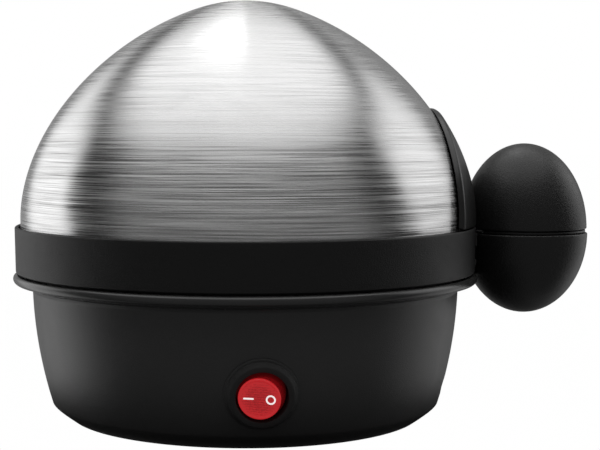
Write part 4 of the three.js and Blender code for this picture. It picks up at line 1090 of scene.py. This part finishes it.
def housing():
    """The base's moulding: a bulging wall, a rolled bead and a stepped shelf turned round the bowl's axis, drawn
    in by the cord recess, with a pad and a bore for the switch, a hole for the cord, and bosses inside."""
    bead_round = 1.7
    opening = COVER_RADIUS + GAP + 0.1
    low = 0.45
    t = np.linspace(0, 1, 16)[:, None]
    bend = np.array([WALL_BOTTOM[0] - 0.4, low + 4.4])
    corner = (1 - t) ** 2 * np.array([opening, low]) + 2 * t * (1 - t) * bend + t**2 * WALL_BOTTOM
    neck = rounded([wall_line(44, WALL_TOP[1], 0, 8)[-2], WALL_TOP, [WALL_TOP[0] + 1.0, WALL_TOP[1] + 1.6],
                    arc(BEAD_RADIUS - bead_round, BASE_TOP - bead_round, bead_round, -62, 0, 1)[0]], 1.2)[1:]
    bead = arc(BEAD_RADIUS - bead_round, BASE_TOP - bead_round, bead_round, -62, 84, 14)
    rim_inner = RIM_RADIUS - 2.45
    shelf = BASE_TOP - 3
    seat = shelf - 1.6
    shelf_inner = PAN_RADIUS - 9.5 + 1
    seal_outer = shelf_inner + 5.2
    inside = rounded([
        bead[-1], [rim_inner, BASE_TOP], [rim_inner, shelf], [seal_outer, shelf], [seal_outer, seat],
        [shelf_inner, seat], [shelf_inner, seat - 2], [wall_radius(seat - 2, WALL_THICKNESS), seat - 2],
    ], [0, 0.8, 0.4, 0.4, 0.3, 0.5, 0.5, 0])
    back = wall_line(seat - 2, WALL_BOTTOM[1], WALL_THICKNESS, 44)
    foot = rounded([back[-1], [WALL_BOTTOM[0] - 3.4, low + 4.2], [opening, low + 2.2], [opening, low]], 0.4)
    outside = np.concatenate([corner, wall_line(WALL_BOTTOM[1], WALL_TOP[1] - 0.6, 0, 52)[1:], neck, bead[1:]])
    profile = np.concatenate([outside, refined(inside, 3)[1:], back[1:], foot[1:-1]])
    angles = spaced_angles([(0, 24, 1.6), (-90, 16, 1.4)], 300)
    angle, radius = np.meshgrid(angles, profile[:, 0])
    z = np.repeat(profile[:, 1, None], len(angles), 1)
    wrapped = (angle + math.pi) % TAU - math.pi
    groove = recess_radius(wrapped, z)
    is_outside = (np.arange(len(profile)) < len(outside))[:, None]
    is_back = (np.arange(len(profile)) >= len(profile) - len(back) - len(foot))[:, None] & (radius > 66)
    radius = np.where(is_outside & (z < 30) & (z > 2), smooth_least(radius, groove, 0.7), radius)
    radius = np.where(is_back & (z < 30), smooth_least(radius, groove - WALL_THICKNESS, 0.7), radius)
    points = np.stack([AXIS_X + radius * np.cos(angle), radius * np.sin(angle), z], -1)
    points = np.concatenate([points, points[:1]])
    base = Skin().grid(points).made("base_moulding")
    solids = []
    for boss_angle in COVER_SCREW_ANGLES:
        centre = about_bowl(COVER_SCREW_CIRCLE, boss_angle, 0)
        top = COVER_TOP + GAP + 21
        solids.append(rod_skin(4.0, centre + [0, 0, COVER_TOP + GAP], centre + [0, 0, top], 32, 0.5).made("boss"))
        solids.append(skewed_block_skin(boss_angle, 57, 1.1, 1.5, 8.0, top - 0.5).made("rib"))
    for post_angle in BRACKET_ANGLES:
        bottom = BRACKET_Z + 1.2 + GAP
        inner = wall_radius(bottom, WALL_THICKNESS) - 4.7
        solids.append(skewed_block_skin(post_angle, inner, 1.1, 4, bottom, bottom + 7.5).made("post"))
    a = even(96)
    ring = np.stack([np.cos(a), np.sin(a)], 1)
    pad_rows = [(0, -3.2), (12.3, -3.2), (12.3, -0.05), (12.1, 0.1), (0, 0.1)]
    pad = Skin().grid(on_switch(np.array([np.column_stack([ring * r, np.full(96, h)]) for r, h in pad_rows])))
    joined(base, pad.made("pad"), *solids)
    bore_rows = [(0, -10), (BARREL_RADIUS + GAP, -10), (BARREL_RADIUS + GAP, 6), (0, 6)]
    bore = Skin().grid(on_switch(np.array([np.column_stack([ring * r, np.full(96, h)]) for r, h in bore_rows])))
    cord_hole = rod_skin(4.5, [AXIS_X + 60, 0, RECESS_Z], [AXIS_X + RIM_RADIUS, 0, RECESS_Z], 48)
    pilots = []
    for boss_angle in COVER_SCREW_ANGLES:
        centre = about_bowl(COVER_SCREW_CIRCLE, boss_angle, COVER_TOP - 1)
        pilots.append(rod_skin(1.4, centre, centre + [0, 0, 14.3], 36).made("pilot"))
    cut(base, bore.made("bore"), cord_hole.made("hole"), *pilots)
    finished(base, base_black, 38)
    return settle(base, "base", "housing_black", "housing")


def spaced_angles(crowded, count):
    """Angles round a circle, closer together within each (centre, half-width, extra) in degrees."""
    fine = np.linspace(0, TAU, 3601)
    density = np.ones_like(fine)
    for centre, half, extra in crowded:
        away = np.abs((fine - math.radians(centre) + math.pi) % TAU - math.pi)
        density += extra * np.clip((math.radians(half * 1.25) - away) / math.radians(half * 0.25), 0, 1)
    total = np.concatenate([[0], np.cumsum((density[1:] + density[:-1]) / 2)])
    return np.interp(np.arange(count) * total[-1] / count, total, fine)


def heating_pan():
    """Spun sheet: a flat floor, a quarter-ellipse side 16.5 mm wide and 13.3 mm deep, and a flat flange."""
    mouth = PAN_RADIUS - 9.5
    floor_edge = mouth - 16.5
    flange = PAN_TOP - SHEET
    a = np.radians(np.linspace(-90, 0, 22))

    def side(inset, level):
        """The quarter ellipse up to a level, drawn in by an inset."""
        return np.stack([floor_edge + (16.5 - inset) * np.cos(a), level + (flange - PAN_UNDER) * np.sin(a)], 1)

    under, over = side(0, flange), side(SHEET, PAN_TOP)[::-1]
    edge = arc(PAN_RADIUS - SHEET / 2, flange + SHEET / 2, SHEET / 2, -90, 90, 8)
    line = refined(np.concatenate([[[0, PAN_UNDER]], under, edge, over, [[0, PAN_UNDER + SHEET]]]), 4)
    pan = turned_skin(line, 240).made("water_pan", pan_steel, 40)
    mark_along(pan, line[: len(line) // 2])
    settle(pan, "base", "pan_aluminium", "heating_pan")
    inner, outer = PAN_RADIUS - 8.5 + GAP, PAN_RADIUS - 3.3 - GAP
    low, high = seal_low[2], seal_high[2]
    middle = [inner, (low + high) / 2]
    line = rounded([middle, [inner, high], [outer, high], [outer, low], [inner, low], middle], 0.35)
    seal = turned_skin(line, 200).made("pan_seal_ring", seal_silicone, 40)
    settle(seal, "base", "seal_silicone", "pan_seal")


def bottom_cover():
    """The cover let into the base from below: a disc with a raised foot ring, holes for screws, feet and air."""
    ring_inner = COVER_RADIUS - 4.7
    low = cover_low[2]
    line = rounded([
        [58, COVER_UNDER], [ring_inner, COVER_UNDER], [ring_inner, low], [COVER_RADIUS, low],
        [COVER_RADIUS, COVER_TOP], [58, COVER_TOP],
    ], [0, 0.5, 0.5, 0.5, 0.4, 0])
    plate_edge = 59.0
    line = np.concatenate([[[plate_edge, COVER_UNDER]], line[1:-1], [[plate_edge, COVER_TOP]]])
    skin = Skin().grid(turned(line, even(192)))
    holes = []
    for circle, radius, hole_angles in (
        (COVER_SCREW_CIRCLE, 1.6, COVER_SCREW_ANGLES),
        (FOOT_CIRCLE, 2.1, FOOT_ANGLES),
        (26, 2.2, range(0, 360, 60)),
    ):
        holes += [(*about_bowl(circle, angle, 0)[:2], radius, 32) for angle in hole_angles]
    a = even(192)
    outline = np.column_stack([AXIS_X + plate_edge * np.cos(a), plate_edge * np.sin(a)])
    plate_with_lips(skin, outline, holes, COVER_UNDER, COVER_TOP, 0.3)
    cover = skin.made("base_cover", bezel_black, 40)
    settle(cover, "base", "housing_black", "bottom_cover")
    for index, angle in enumerate(COVER_SCREW_ANGLES, 1):
        seat = about_bowl(COVER_SCREW_CIRCLE, angle, COVER_UNDER - GAP)
        screw = screw_skin(seat, [0, 0, 1], 1.1, COVER_TOP + 12 - seat[2], 3.1, 1.5)
        settle(screw.made(f"cover_screw_{index}", fitting_steel, 35), "base", "fitting_steel", f"cover_screw_{index}")
    for index, angle in enumerate(FOOT_ANGLES, 1):
        x, y, _ = about_bowl(FOOT_CIRCLE, angle, 0)
        top, head = COVER_UNDER - GAP, COVER_TOP + GAP
        line = rounded([
            [0, 0.35], [3.4, 0.35], [3.7, 0], [5, 0], [5, top], [1.8, top], [1.8, head], [2.9, head],
            [2.2, head + 1.4], [0, head + 1.4],
        ], [0, 0.2, 0.2, 0.5, 0.3, 0.2, 0.2, 0.2, 0.4, 0])
        foot = turned_skin(line, 64, x, y).made(f"rubber_foot_{index}", foot_rubber, 40)
        settle(foot, "base", "rubber_black", f"foot_{index}")


# ---------------------------------------------------------------- the switch
def round_on_switch(line, count=120):
    """A profile of radius and height turned about the switch's own axis."""
    line = np.asarray(line, float)
    a = even(count)
    ring = np.stack([np.cos(a), np.sin(a)], 1)
    rows = [np.column_stack([ring * r, np.full(count, h)]) for r, h in line]
    return Skin().grid(on_switch(np.array(rows)))


def switch_body():
    """The switch's barrel with its tapered bezel, and its three blades."""
    back = 0.1 + GAP
    line = rounded([
        [0, -18], [BARREL_RADIUS, -18], [BARREL_RADIUS, back], [BEZEL_RADIUS, back], [BEZEL_RADIUS - 0.15, 1.2],
        [BEZEL_RADIUS - 1.3, 2.7], [BEZEL_RADIUS - 1.9, 2.8], [SWITCH_HOLE + 0.1, 2.8], [SWITCH_HOLE, 2.2],
        [SWITCH_HOLE, -16.5], [0, -16.5],
    ], [0, 0.4, 0.2, 0.25, 0.4, 0.4, 0.3, 0.5, 0.3, 0.4, 0])
    body = round_on_switch(refined(line, 2)).made("switch_bezel")
    start, end = (PIVOT + SWITCH_UP * reach for reach in (-20, 20))
    cut(body, rod_skin(1.35, start, end).made("bearing"))
    finished(body, bezel_black, 32)
    settle(body, "base", "bezel_black", "switch_body")
    for index, x in enumerate((-5, 0, 5), 1):
        top = -18 - GAP
        blade = bar_skin([x - 0.4, -3, top - 8], [x + 0.4, 3, top], 0.25)
        blade.points = [on_switch(p) for p in blade.points]
        settle(blade.made(f"switch_blade_{index}", contact_brass, 35), "base", "contact_brass", f"switch_tab_{index}")
    lamp = rod_skin(1.6, [-3.5, 0, -13.6], [3.5, 0, -13.6], 32, 0.7)
    lamp.points = [on_switch(p) for p in lamp.points]
    settle(lamp.made("lamp_bulb", lamp_glass, 50), "base", "lamp_glass", "neon_lamp")


def on_rocker(points):
    """Points in the rocker's own frame, whose origin is its hinge, as it rests with its left side pressed in."""
    return placed(points, PIVOT, ROCKER_RIGHT, SWITCH_UP, ROCKER_OUT)


def rocker_face_height(x, y):
    """The rocker's face: a shallow saddle pressed lower along its hinge, with fine upright prisms over it."""
    saddle = -FACE_SAG * (1 - (x / ROCKER_FACE) ** 2)
    upright = 2 * np.abs((x / 0.62) % 1 - 0.5) - 0.5
    level = 2 * np.abs(((y + 0.18 * x) / 0.74) % 1 - 0.5) - 0.5
    prism = 0.06 * upright + 0.05 * level
    edge = np.clip((ROCKER_FACE - 0.5 - np.hypot(x, y)) / 0.4, 0, 1)
    return FACE_HEIGHT + saddle * edge + prism * edge


def rocker():
    """The red lens: a prismed face, a flank that lies in a ball about the hinge, a skirt, a plunger and two
    pivots; with its two legend marks."""
    def reach(height):
        """The flank's distance from the hinge line at a height: a ball, less a clearance."""
        return math.sqrt(8.2**2 - height**2) - 0.1

    count = 168
    a = even(count)
    ring = np.stack([np.cos(a), np.sin(a)], 1)
    rows = []
    for r in np.linspace(0, ROCKER_FACE - 0.45, 46):
        flat = ring * r
        rows.append(np.column_stack([flat, rocker_face_height(flat[:, 0], flat[:, 1])]))
    line = rounded([
        [ROCKER_FACE - 0.45, FACE_HEIGHT], [ROCKER_FACE, FACE_HEIGHT - 0.05], [reach(4), 4], [reach(2), 2],
        [reach(0), 0], [reach(-1.8), -1.8], [reach(-1.8) - 1.3, -1.8], [reach(0) - 1.3, 0.8],
        [ROCKER_FACE - 1.3, FACE_HEIGHT - 1.5],
        [1.2, FACE_HEIGHT - 1.5], [1.2, -3.6], [0, -3.6],
    ], [0, 0.5, 1, 1.5, 1, 0.4, 0.4, 0.6, 0.6, 0.4, 0.3, 0])
    rows += [np.column_stack([ring * r, np.full(count, h)]) for r, h in line[1:]]
    lens = Skin().grid(on_rocker(np.array(rows))).made("rocker_lens")
    for side in (-1, 1):
        start, end = (on_rocker(np.array([0, side * d, 0.0])) for d in (7.2, 9.4))
        joined(lens, rod_skin(1.05, start, end, 28).made("pivot"))
    finished(lens, red_lens, 30)
    settle(lens, "rocker", "lens_red", "switch_rocker")
    proud, marks = 0.1, Skin()
    bar_x, bar_half, bar_tall = -3.5, 1.65, 0.27
    x, y = np.meshgrid(np.linspace(bar_x - bar_half, bar_x + bar_half, 40), np.linspace(-bar_tall, bar_tall, 5))
    top, low = FACE_HEIGHT - FACE_SAG * (1 - (x / ROCKER_FACE) ** 2) + proud, np.full_like(x, FACE_HEIGHT - 0.6)
    faces = [np.stack([x, y, h], -1) for h in (top, low)]
    for face in faces:
        marks.grid(on_rocker(face), wrap=False)
    marks.grid(on_rocker(np.array([np.concatenate([f[0, :-1], f[:-1, -1], f[-1, :0:-1], f[:0:-1, 0]]) for f in faces])))
    a = even(64)
    rows = []
    for r, up in ((1.08, 0), (1.6, 0), (1.6, -0.6), (1.08, -0.6), (1.08, 0)):
        px, py = 3.7 + r * np.cos(a), r * np.sin(a)
        rows.append(np.stack([px, py, FACE_HEIGHT - FACE_SAG * (1 - (px / ROCKER_FACE) ** 2) + proud + up], -1))
    marks.grid(on_rocker(np.array(rows)))
    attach(marks.made("rocker_marks", legend_white_painted_glow, 30), "rocker")


# ---------------------------------------------------------------- cord bush and the parts sealed in the base
def cord_bush():
    """The rubber bush that lines the cord's hole: a tube with an inner flange and a rounded outer lip."""
    low, high = bush_low[0] - AXIS_X, bush_high[0] - AXIS_X
    line = rounded([[3.5, (low + high) / 2], [3.5, low], [6.0, low], [6.0, low + 2], [4.2, low + 2], [4.2, high],
                    [3.5, high], [3.5, (low + high) / 2]], 0.35)
    a = even(72)
    rows = [np.column_stack([np.full(72, AXIS_X + d), r * np.cos(a), RECESS_Z + r * np.sin(a)]) for r, d in line]
    bush = Skin().grid(np.array(rows)).made("cord_bush", foot_rubber, 35)
    settle(bush, "base", "rubber_black", "cord_bush")


def node_ends(node, axis=2):
    """The two ends of a node's box along one axis, on its middle line."""
    low, high = box_mm(node)
    start, end = (low + high) / 2, (low + high) / 2
    start[axis], end[axis] = low[axis], high[axis]
    return start, end, (high - low) / 2


def under_the_pan():
    """The heating element and its tails, the thermostat in its strap, the thermal fuse, and three sets of a
    stud, a bracket and a nut."""
    element_z = PAN_UNDER - GAP - 3.2
    sweep = np.radians(np.linspace(110, 430, 25))
    path = np.column_stack([AXIS_X + 38 * np.cos(sweep), 38 * np.sin(sweep), np.full(25, element_z)])
    element = tube_skin(path[1:-1], 3.2, 24, 110).made("heating_element", fitting_steel, 40)
    settle(element, "base", "fitting_steel", "heating_element")
    for index in (1, 2):
        side = 3 - 2 * index
        a = math.radians(90 + side * 20)
        end = np.array([AXIS_X + 38 * math.cos(a), 38 * math.sin(a), element_z])
        away = np.array([math.sin(a), -math.cos(a), 0]) * side
        tail = rod_skin(1.2, end + away * 0.6, end + away * 8.6, 24, 0.3)
        settle(tail.made(f"element_tail_{index}", fitting_steel, 35), "base", "fitting_steel", f"element_tab_{index}")
    start, end, _ = node_ends("thermostat")
    body = rod_skin(8.0, start, end, 72, 0.6).made("thermostat_disc", white_ceramic, 35)
    settle(body, "base", "ceramic_white", "thermostat")
    top = PAN_UNDER - GAP
    low = box_mm("thermostat_bracket")[0][2]
    right = np.array([[23, low], [24, low + 1], [24, top], [30, top]])
    outer = rounded(np.concatenate([right[::-1] * [-1, 1], right]), [0, 0.8, 0, 1.6, 1.6, 0, 0.8, 0])
    strip = strip_skin(outer + [AXIS_X, 0], 1.0, -5, 5)
    settle(strip.made("thermostat_strap", fitting_steel, 35), "base", "fitting_steel", "thermostat_bracket")
    start, end, _ = node_ends("thermal_fuse", 0)
    fuse = rod_skin(2.2, start, end, 36, 0.5).made("thermal_fuse", fitting_steel, 35)
    settle(fuse, "base", "fitting_steel", "thermal_fuse")
    for index, angle in enumerate(BRACKET_ANGLES, 1):
        centre = about_bowl(STUD_CIRCLE, angle, 0)
        stud = rod_skin(1.5, centre + [0, 0, top - 7.4], centre + [0, 0, top], 32, 0.3)
        settle(stud.made(f"pan_stud_{index}", fitting_steel, 35), "base", "fitting_steel", f"pan_stud_{index}")
        half, outer = 5.0, wall_radius(BRACKET_Z, WALL_THICKNESS) - 0.9
        flat = rounded([[46, 0], [46, -half], [outer, -half], [outer, half], [46, half], [46, 0]], 1.5)[:-1]
        turn = math.radians(angle)
        spin = np.array([[math.cos(turn), math.sin(turn)], [-math.sin(turn), math.cos(turn)]])
        skin = Skin()
        loop = flat @ spin + [AXIS_X, 0]
        drawn = (flat - [(46 + outer) / 2, 0]) * [0.985, 0.95] + [(46 + outer) / 2, 0]
        loop_in = drawn @ spin + [AXIS_X, 0]
        levels = [(loop_in, BRACKET_Z + 1.2), (loop, BRACKET_Z + 1.0), (loop, BRACKET_Z + 0.2), (loop_in, BRACKET_Z)]
        skin.grid(np.array([np.column_stack([p, np.full(len(p), z)]) for p, z in levels]))
        plate_with_lips(skin, loop_in, [(centre[0], centre[1], 1.8, 28)], BRACKET_Z, BRACKET_Z + 1.2, 0.15)
        settle(skin.made(f"pan_bracket_{index}", fitting_steel, 35), "base", "fitting_steel", f"pan_bracket_{index}")
        nut_top = BRACKET_Z - GAP
        corner_angles = np.radians(np.arange(0, 360, 7.5) + angle)
        across = 2.771 / np.cos((np.radians(np.arange(0, 360, 7.5)) % (math.pi / 3)) - math.pi / 6)
        ring = np.stack([np.cos(corner_angles), np.sin(corner_angles)], 1)
        rows = []
        for r, z in ((1.8, 0), (2.6, 0), (9, 0.35), (9, 1.85), (2.6, 2.2), (1.8, 2.2), (1.8, 0)):
            reach = np.minimum(across, r)[:, None]
            rows.append(np.column_stack([centre[:2] + ring * reach, np.full(48, nut_top - 2.2 + z)]))
        nut = Skin().grid(np.array(rows)).made(f"pan_nut_{index}", fitting_steel, 25)
        settle(nut, "base", "fitting_steel", f"pan_nut_{index}")


def strip_skin(line, thickness, low, high):
    """A bent strip: a line in X and height carried across Y, and thickened upwards along its normals."""
    run = np.gradient(line, axis=0)
    normal = np.stack([-run[:, 1], run[:, 0]], 1) / np.linalg.norm(run, axis=1)[:, None]
    inner = line + normal * thickness
    loop = np.concatenate([line, inner[::-1]])
    rows = [np.column_stack([loop[:, 0], np.full(len(loop), y), loop[:, 1]]) for y in (low, high)]
    skin = Skin().grid(np.array(rows))
    n = len(line)
    for y in (low, high):
        flat = np.stack([np.column_stack([s[:, 0], np.full(n, y), s[:, 1]]) for s in (line, inner)])
        skin.grid(flat, wrap=False)
    return skin


def terminals_and_wires():
    """The terminal block and the three wires, each from one CAD node's own ends."""
    low, high = box_mm("terminal_block")
    block = bar_skin(low, high, 0.8).made("terminal_block")
    middle_z = (low[2] + high[2]) / 2
    for y in (15.5, 22.5):
        cut(block, rod_skin(1.8, [low[0] - 1, y, middle_z], [high[0] + 1, y, middle_z], 32).made("way"))
        centre_x = (low[0] + high[0]) / 2
        for x in (centre_x - 4, centre_x + 4):
            cut(block, rod_skin(1.3, [x, y, middle_z + 1], [x, y, high[2] + 1], 28).made("screw_way"))
    settle(finished(block, white_ceramic, 35), "base", "ceramic_white", "terminal_block")
    for node, finish, slot in (
        ("wire_live", brown_insulation, "wire_brown"),
        ("wire_heater", brown_insulation, "wire_brown"),
        ("wire_neutral", blue_insulation, "wire_blue"),
    ):
        wire = tube_skin(wire_centres(node), 1.0, 16, 90).made(node, finish, 60)
        settle(wire, "base", slot, node)


def wire_centres(node):
    """The middles of a wire's rings: its CAD mesh is a swept section, so points that share a ring lie within
    one radius of each other, and the middle of each such cluster is on its line."""
    mesh = frame["nodes"][node].data
    points = np.zeros(len(mesh.vertices) * 3)
    mesh.vertices.foreach_get("co", points)
    points = np.unique(np.round(points.reshape(-1, 3) / MM, 3), axis=0)
    centres, left = [], points
    while len(left):
        near = np.linalg.norm(left - left[0], axis=1) < 2.1
        centres.append(left[near].mean(0))
        left = left[~near]
    centres = np.array(centres)
    line = [centres[np.argmax(np.linalg.norm(centres - centres.mean(0), axis=1))]]
    rest = list(range(len(centres)))
    rest.remove(int(np.argmin(np.linalg.norm(centres - line[0], axis=1))))
    while rest:
        nearest = min(rest, key=lambda i: np.linalg.norm(centres[i] - line[-1]))
        line.append(centres[nearest])
        rest.remove(nearest)
    return line


# ---------------------------------------------------------------- making it
lid_dome()
lid_shield()
lower_handle()
upper_handle()
lid_fastenings()
egg_tray()
housing()
heating_pan()
bottom_cover()
switch_body()
rocker()
cord_bush()
under_the_pan()
terminals_and_wires()


# ---------------------------------------------------------------- floor, camera and light
CAMERA_HEADING = math.radians(4.0)
CAMERA_AWAY = 0.51999
CAMERA_PLACE = Vector((
    AXIS_X * MM - CAMERA_AWAY * math.sin(CAMERA_HEADING),
    -CAMERA_AWAY * math.cos(CAMERA_HEADING),
    0.1042,
))
CAMERA_DIP = math.radians(3.749)
CAMERA_LOOK = Vector((
    math.sin(CAMERA_HEADING) * math.cos(CAMERA_DIP),
    math.cos(CAMERA_HEADING) * math.cos(CAMERA_DIP),
    -math.sin(CAMERA_DIP),
))


def camera():
    """The camera at its named place and heading."""
    lens = bpy.data.cameras.new("view")
    lens.lens = 83.70
    lens.shift_x = 0.0913
    lens.sensor_width = 36
    lens.clip_end = 50
    made = bpy.data.objects.new("view", lens)
    made.location = CAMERA_PLACE
    made.rotation_euler = CAMERA_LOOK.to_track_quat("-Z", "Y").to_euler()
    bpy.context.scene.collection.objects.link(made)
    bpy.context.scene.camera = made


def floor():
    """A wide white floor, as bright to the eye as the room and clear from below. To reflections it is clear too,
    except for a ring of painted shadow, dark grey, round the base's foot."""
    mesh = bpy.data.meshes.new("floor")
    edge = 6.0
    corners = [(-edge, -edge, 0), (edge, -edge, 0), (edge, edge, 0), (-edge, edge, 0)]
    mesh.from_pydata(corners, [], [(0, 1, 2, 3)])
    made = bpy.data.objects.new("floor", mesh)
    bpy.context.scene.collection.objects.link(made)
    material = bpy.data.materials.new("white_floor")
    material.use_nodes = True
    net = Net(material.node_tree)
    material.node_tree.nodes.clear()
    glow = net.node("ShaderNodeEmission")
    tone = net.noise(net.on_object(), 3.0, 2.0)
    net.put(glow.inputs["Color"], net.mix(tone, grey(0.995), grey(1.0)))
    dark, clear = net.node("ShaderNodeBsdfDiffuse"), net.node("ShaderNodeBsdfTransparent")
    # Painted shadow: a dark grey ring round the base's foot that only reflected and diffuse rays see.
    dark.inputs["Color"].default_value = grey(0.08)
    from_base = net.vector("LENGTH", net.on_object(centre=(AXIS_X * MM, 0.0, 0.0)), output="Value")
    lent, seen = net.node("ShaderNodeMixShader"), net.node("ShaderNodeMixShader")
    painted_shadow_ring = net.math("MULTIPLY", net.ramp(from_base, 0.060, 0.068), net.ramp(from_base, 0.080, 0.118, 1.0, 0.0))
    net.put(lent.inputs[0], painted_shadow_ring)
    net.put(lent.inputs[1], clear.outputs[0])
    net.put(lent.inputs[2], dark.outputs[0])
    net.put(seen.inputs[0], net.node("ShaderNodeLightPath").outputs["Is Camera Ray"])
    net.put(seen.inputs[1], lent.outputs[0])
    net.put(seen.inputs[2], glow.outputs[0])
    side = net.node("ShaderNodeMixShader")
    net.put(side.inputs[0], net.node("ShaderNodeNewGeometry").outputs["Backfacing"])
    net.put(side.inputs[1], seen.outputs[0])
    net.put(side.inputs[2], clear.outputs[0])
    net.put(net.node("ShaderNodeOutputMaterial").inputs[0], side.outputs[0])
    mesh.materials.append(material)


def studio():
    """A white room by direction, turned a little from the camera's line. A dim field lies in front of the object,
    a dark gap on each side of it, white walls beside and behind it, a large softbox overhead and a small one
    behind it to the left; the white table gives the walls' light back from below."""
    world = bpy.data.worlds.new("studio")
    bpy.context.scene.world = world
    world.use_nodes = True
    net = Net(world.node_tree)
    world.node_tree.nodes.clear()
    towards = Vector((-CAMERA_LOOK.x, -CAMERA_LOOK.y, 0)).normalized()
    rightwards = Vector((-towards.y, towards.x, 0))
    direction = net.vector("NORMALIZE", net.node("ShaderNodeTexCoord").outputs["Generated"])
    ahead = net.vector("DOT_PRODUCT", direction, tuple(towards), output="Value")
    aside = net.vector("DOT_PRODUCT", direction, tuple(rightwards), output="Value")
    height = net.math("DEGREES", net.math("ARCSINE", net.parts(direction)[2]))
    bearing = net.math("DEGREES", net.math("ARCTAN2", aside, ahead))
    off_axis = net.math("ABSOLUTE", net.math("ADD", bearing, net.ramp(height, -6.0, 12.0, -3.0, 6.0)))
    right_side = net.ramp(bearing, -20.0, 20.0)
    left_side = net.ramp(bearing, -70.0, -30.0, 1.0, 0.0)
    low_right = net.math("MULTIPLY", right_side, net.ramp(height, 0.0, 18.0, 1.0, 0.0))

    from_front = net.math("SUBTRACT", off_axis, net.math("MULTIPLY", left_side, 4.0))
    walls = net.math("MULTIPLY", net.ramp(from_front, 89.0, 98.0), net.ramp(off_axis, 132.0, 150.0, 1.3, 0.25))
    walls = net.math("MULTIPLY", walls, net.math("SUBTRACT", 1.0, net.math("MULTIPLY", low_right, 0.5)))
    over_wall = net.math("SUBTRACT", height, net.math("MULTIPLY", right_side, 10.0))
    walls = net.math("MULTIPLY", walls, net.ramp(over_wall, 27.0, 38.0, 1.0, 0.12))
    walls = net.math("MULTIPLY", walls, net.ramp(height, -45.0, -22.0, 0.3, 1.0))
    front = net.ramp(off_axis, 54.0, 78.0, 0.21, 0.05)
    reach = net.math("MAXIMUM", left_side, net.ramp(off_axis, 150.0, 168.0))
    overhead = net.ramp(net.math("ADD", height, net.math("MULTIPLY", reach, 6.0)), 42.0, 58.0, 0.0, 1.6)
    gap = net.math("MULTIPLY", net.ramp(bearing, 56.0, 76.0, 0.0, 0.85), net.ramp(height, 40.0, 54.0, 1.0, 0.0))
    overhead = net.math("MULTIPLY", overhead, net.math("SUBTRACT", 1.0, gap))
    from_lamp = net.math("ABSOLUTE", net.math("ADD", bearing, 168.0))
    lamp_height = net.math("ABSOLUTE", net.math("SUBTRACT", height, 65.0))
    lamp = net.math("MULTIPLY", net.ramp(from_lamp, 12.0, 30.0, 3.2, 0.0), net.ramp(lamp_height, 7.0, 15.0, 1.0, 0.0))
    light = net.math("MAXIMUM", net.math("ADD", walls, front), net.math("MAXIMUM", overhead, lamp))
    for_eye, for_object = net.node("ShaderNodeBackground"), net.node("ShaderNodeBackground")
    for_eye.inputs["Color"].default_value = grey(1.0)
    net.put(for_object.inputs["Color"], net.joined(light, light, light))
    choice = net.node("ShaderNodeMixShader")
    net.put(choice.inputs[0], net.node("ShaderNodeLightPath").outputs["Is Camera Ray"])
    net.put(choice.inputs[1], for_object.outputs[0])
    net.put(choice.inputs[2], for_eye.outputs[0])
    net.put(net.node("ShaderNodeOutputWorld").inputs[0], choice.outputs[0])


camera()
floor()
studio()
bpy.context.scene.view_settings.view_transform = "Standard"
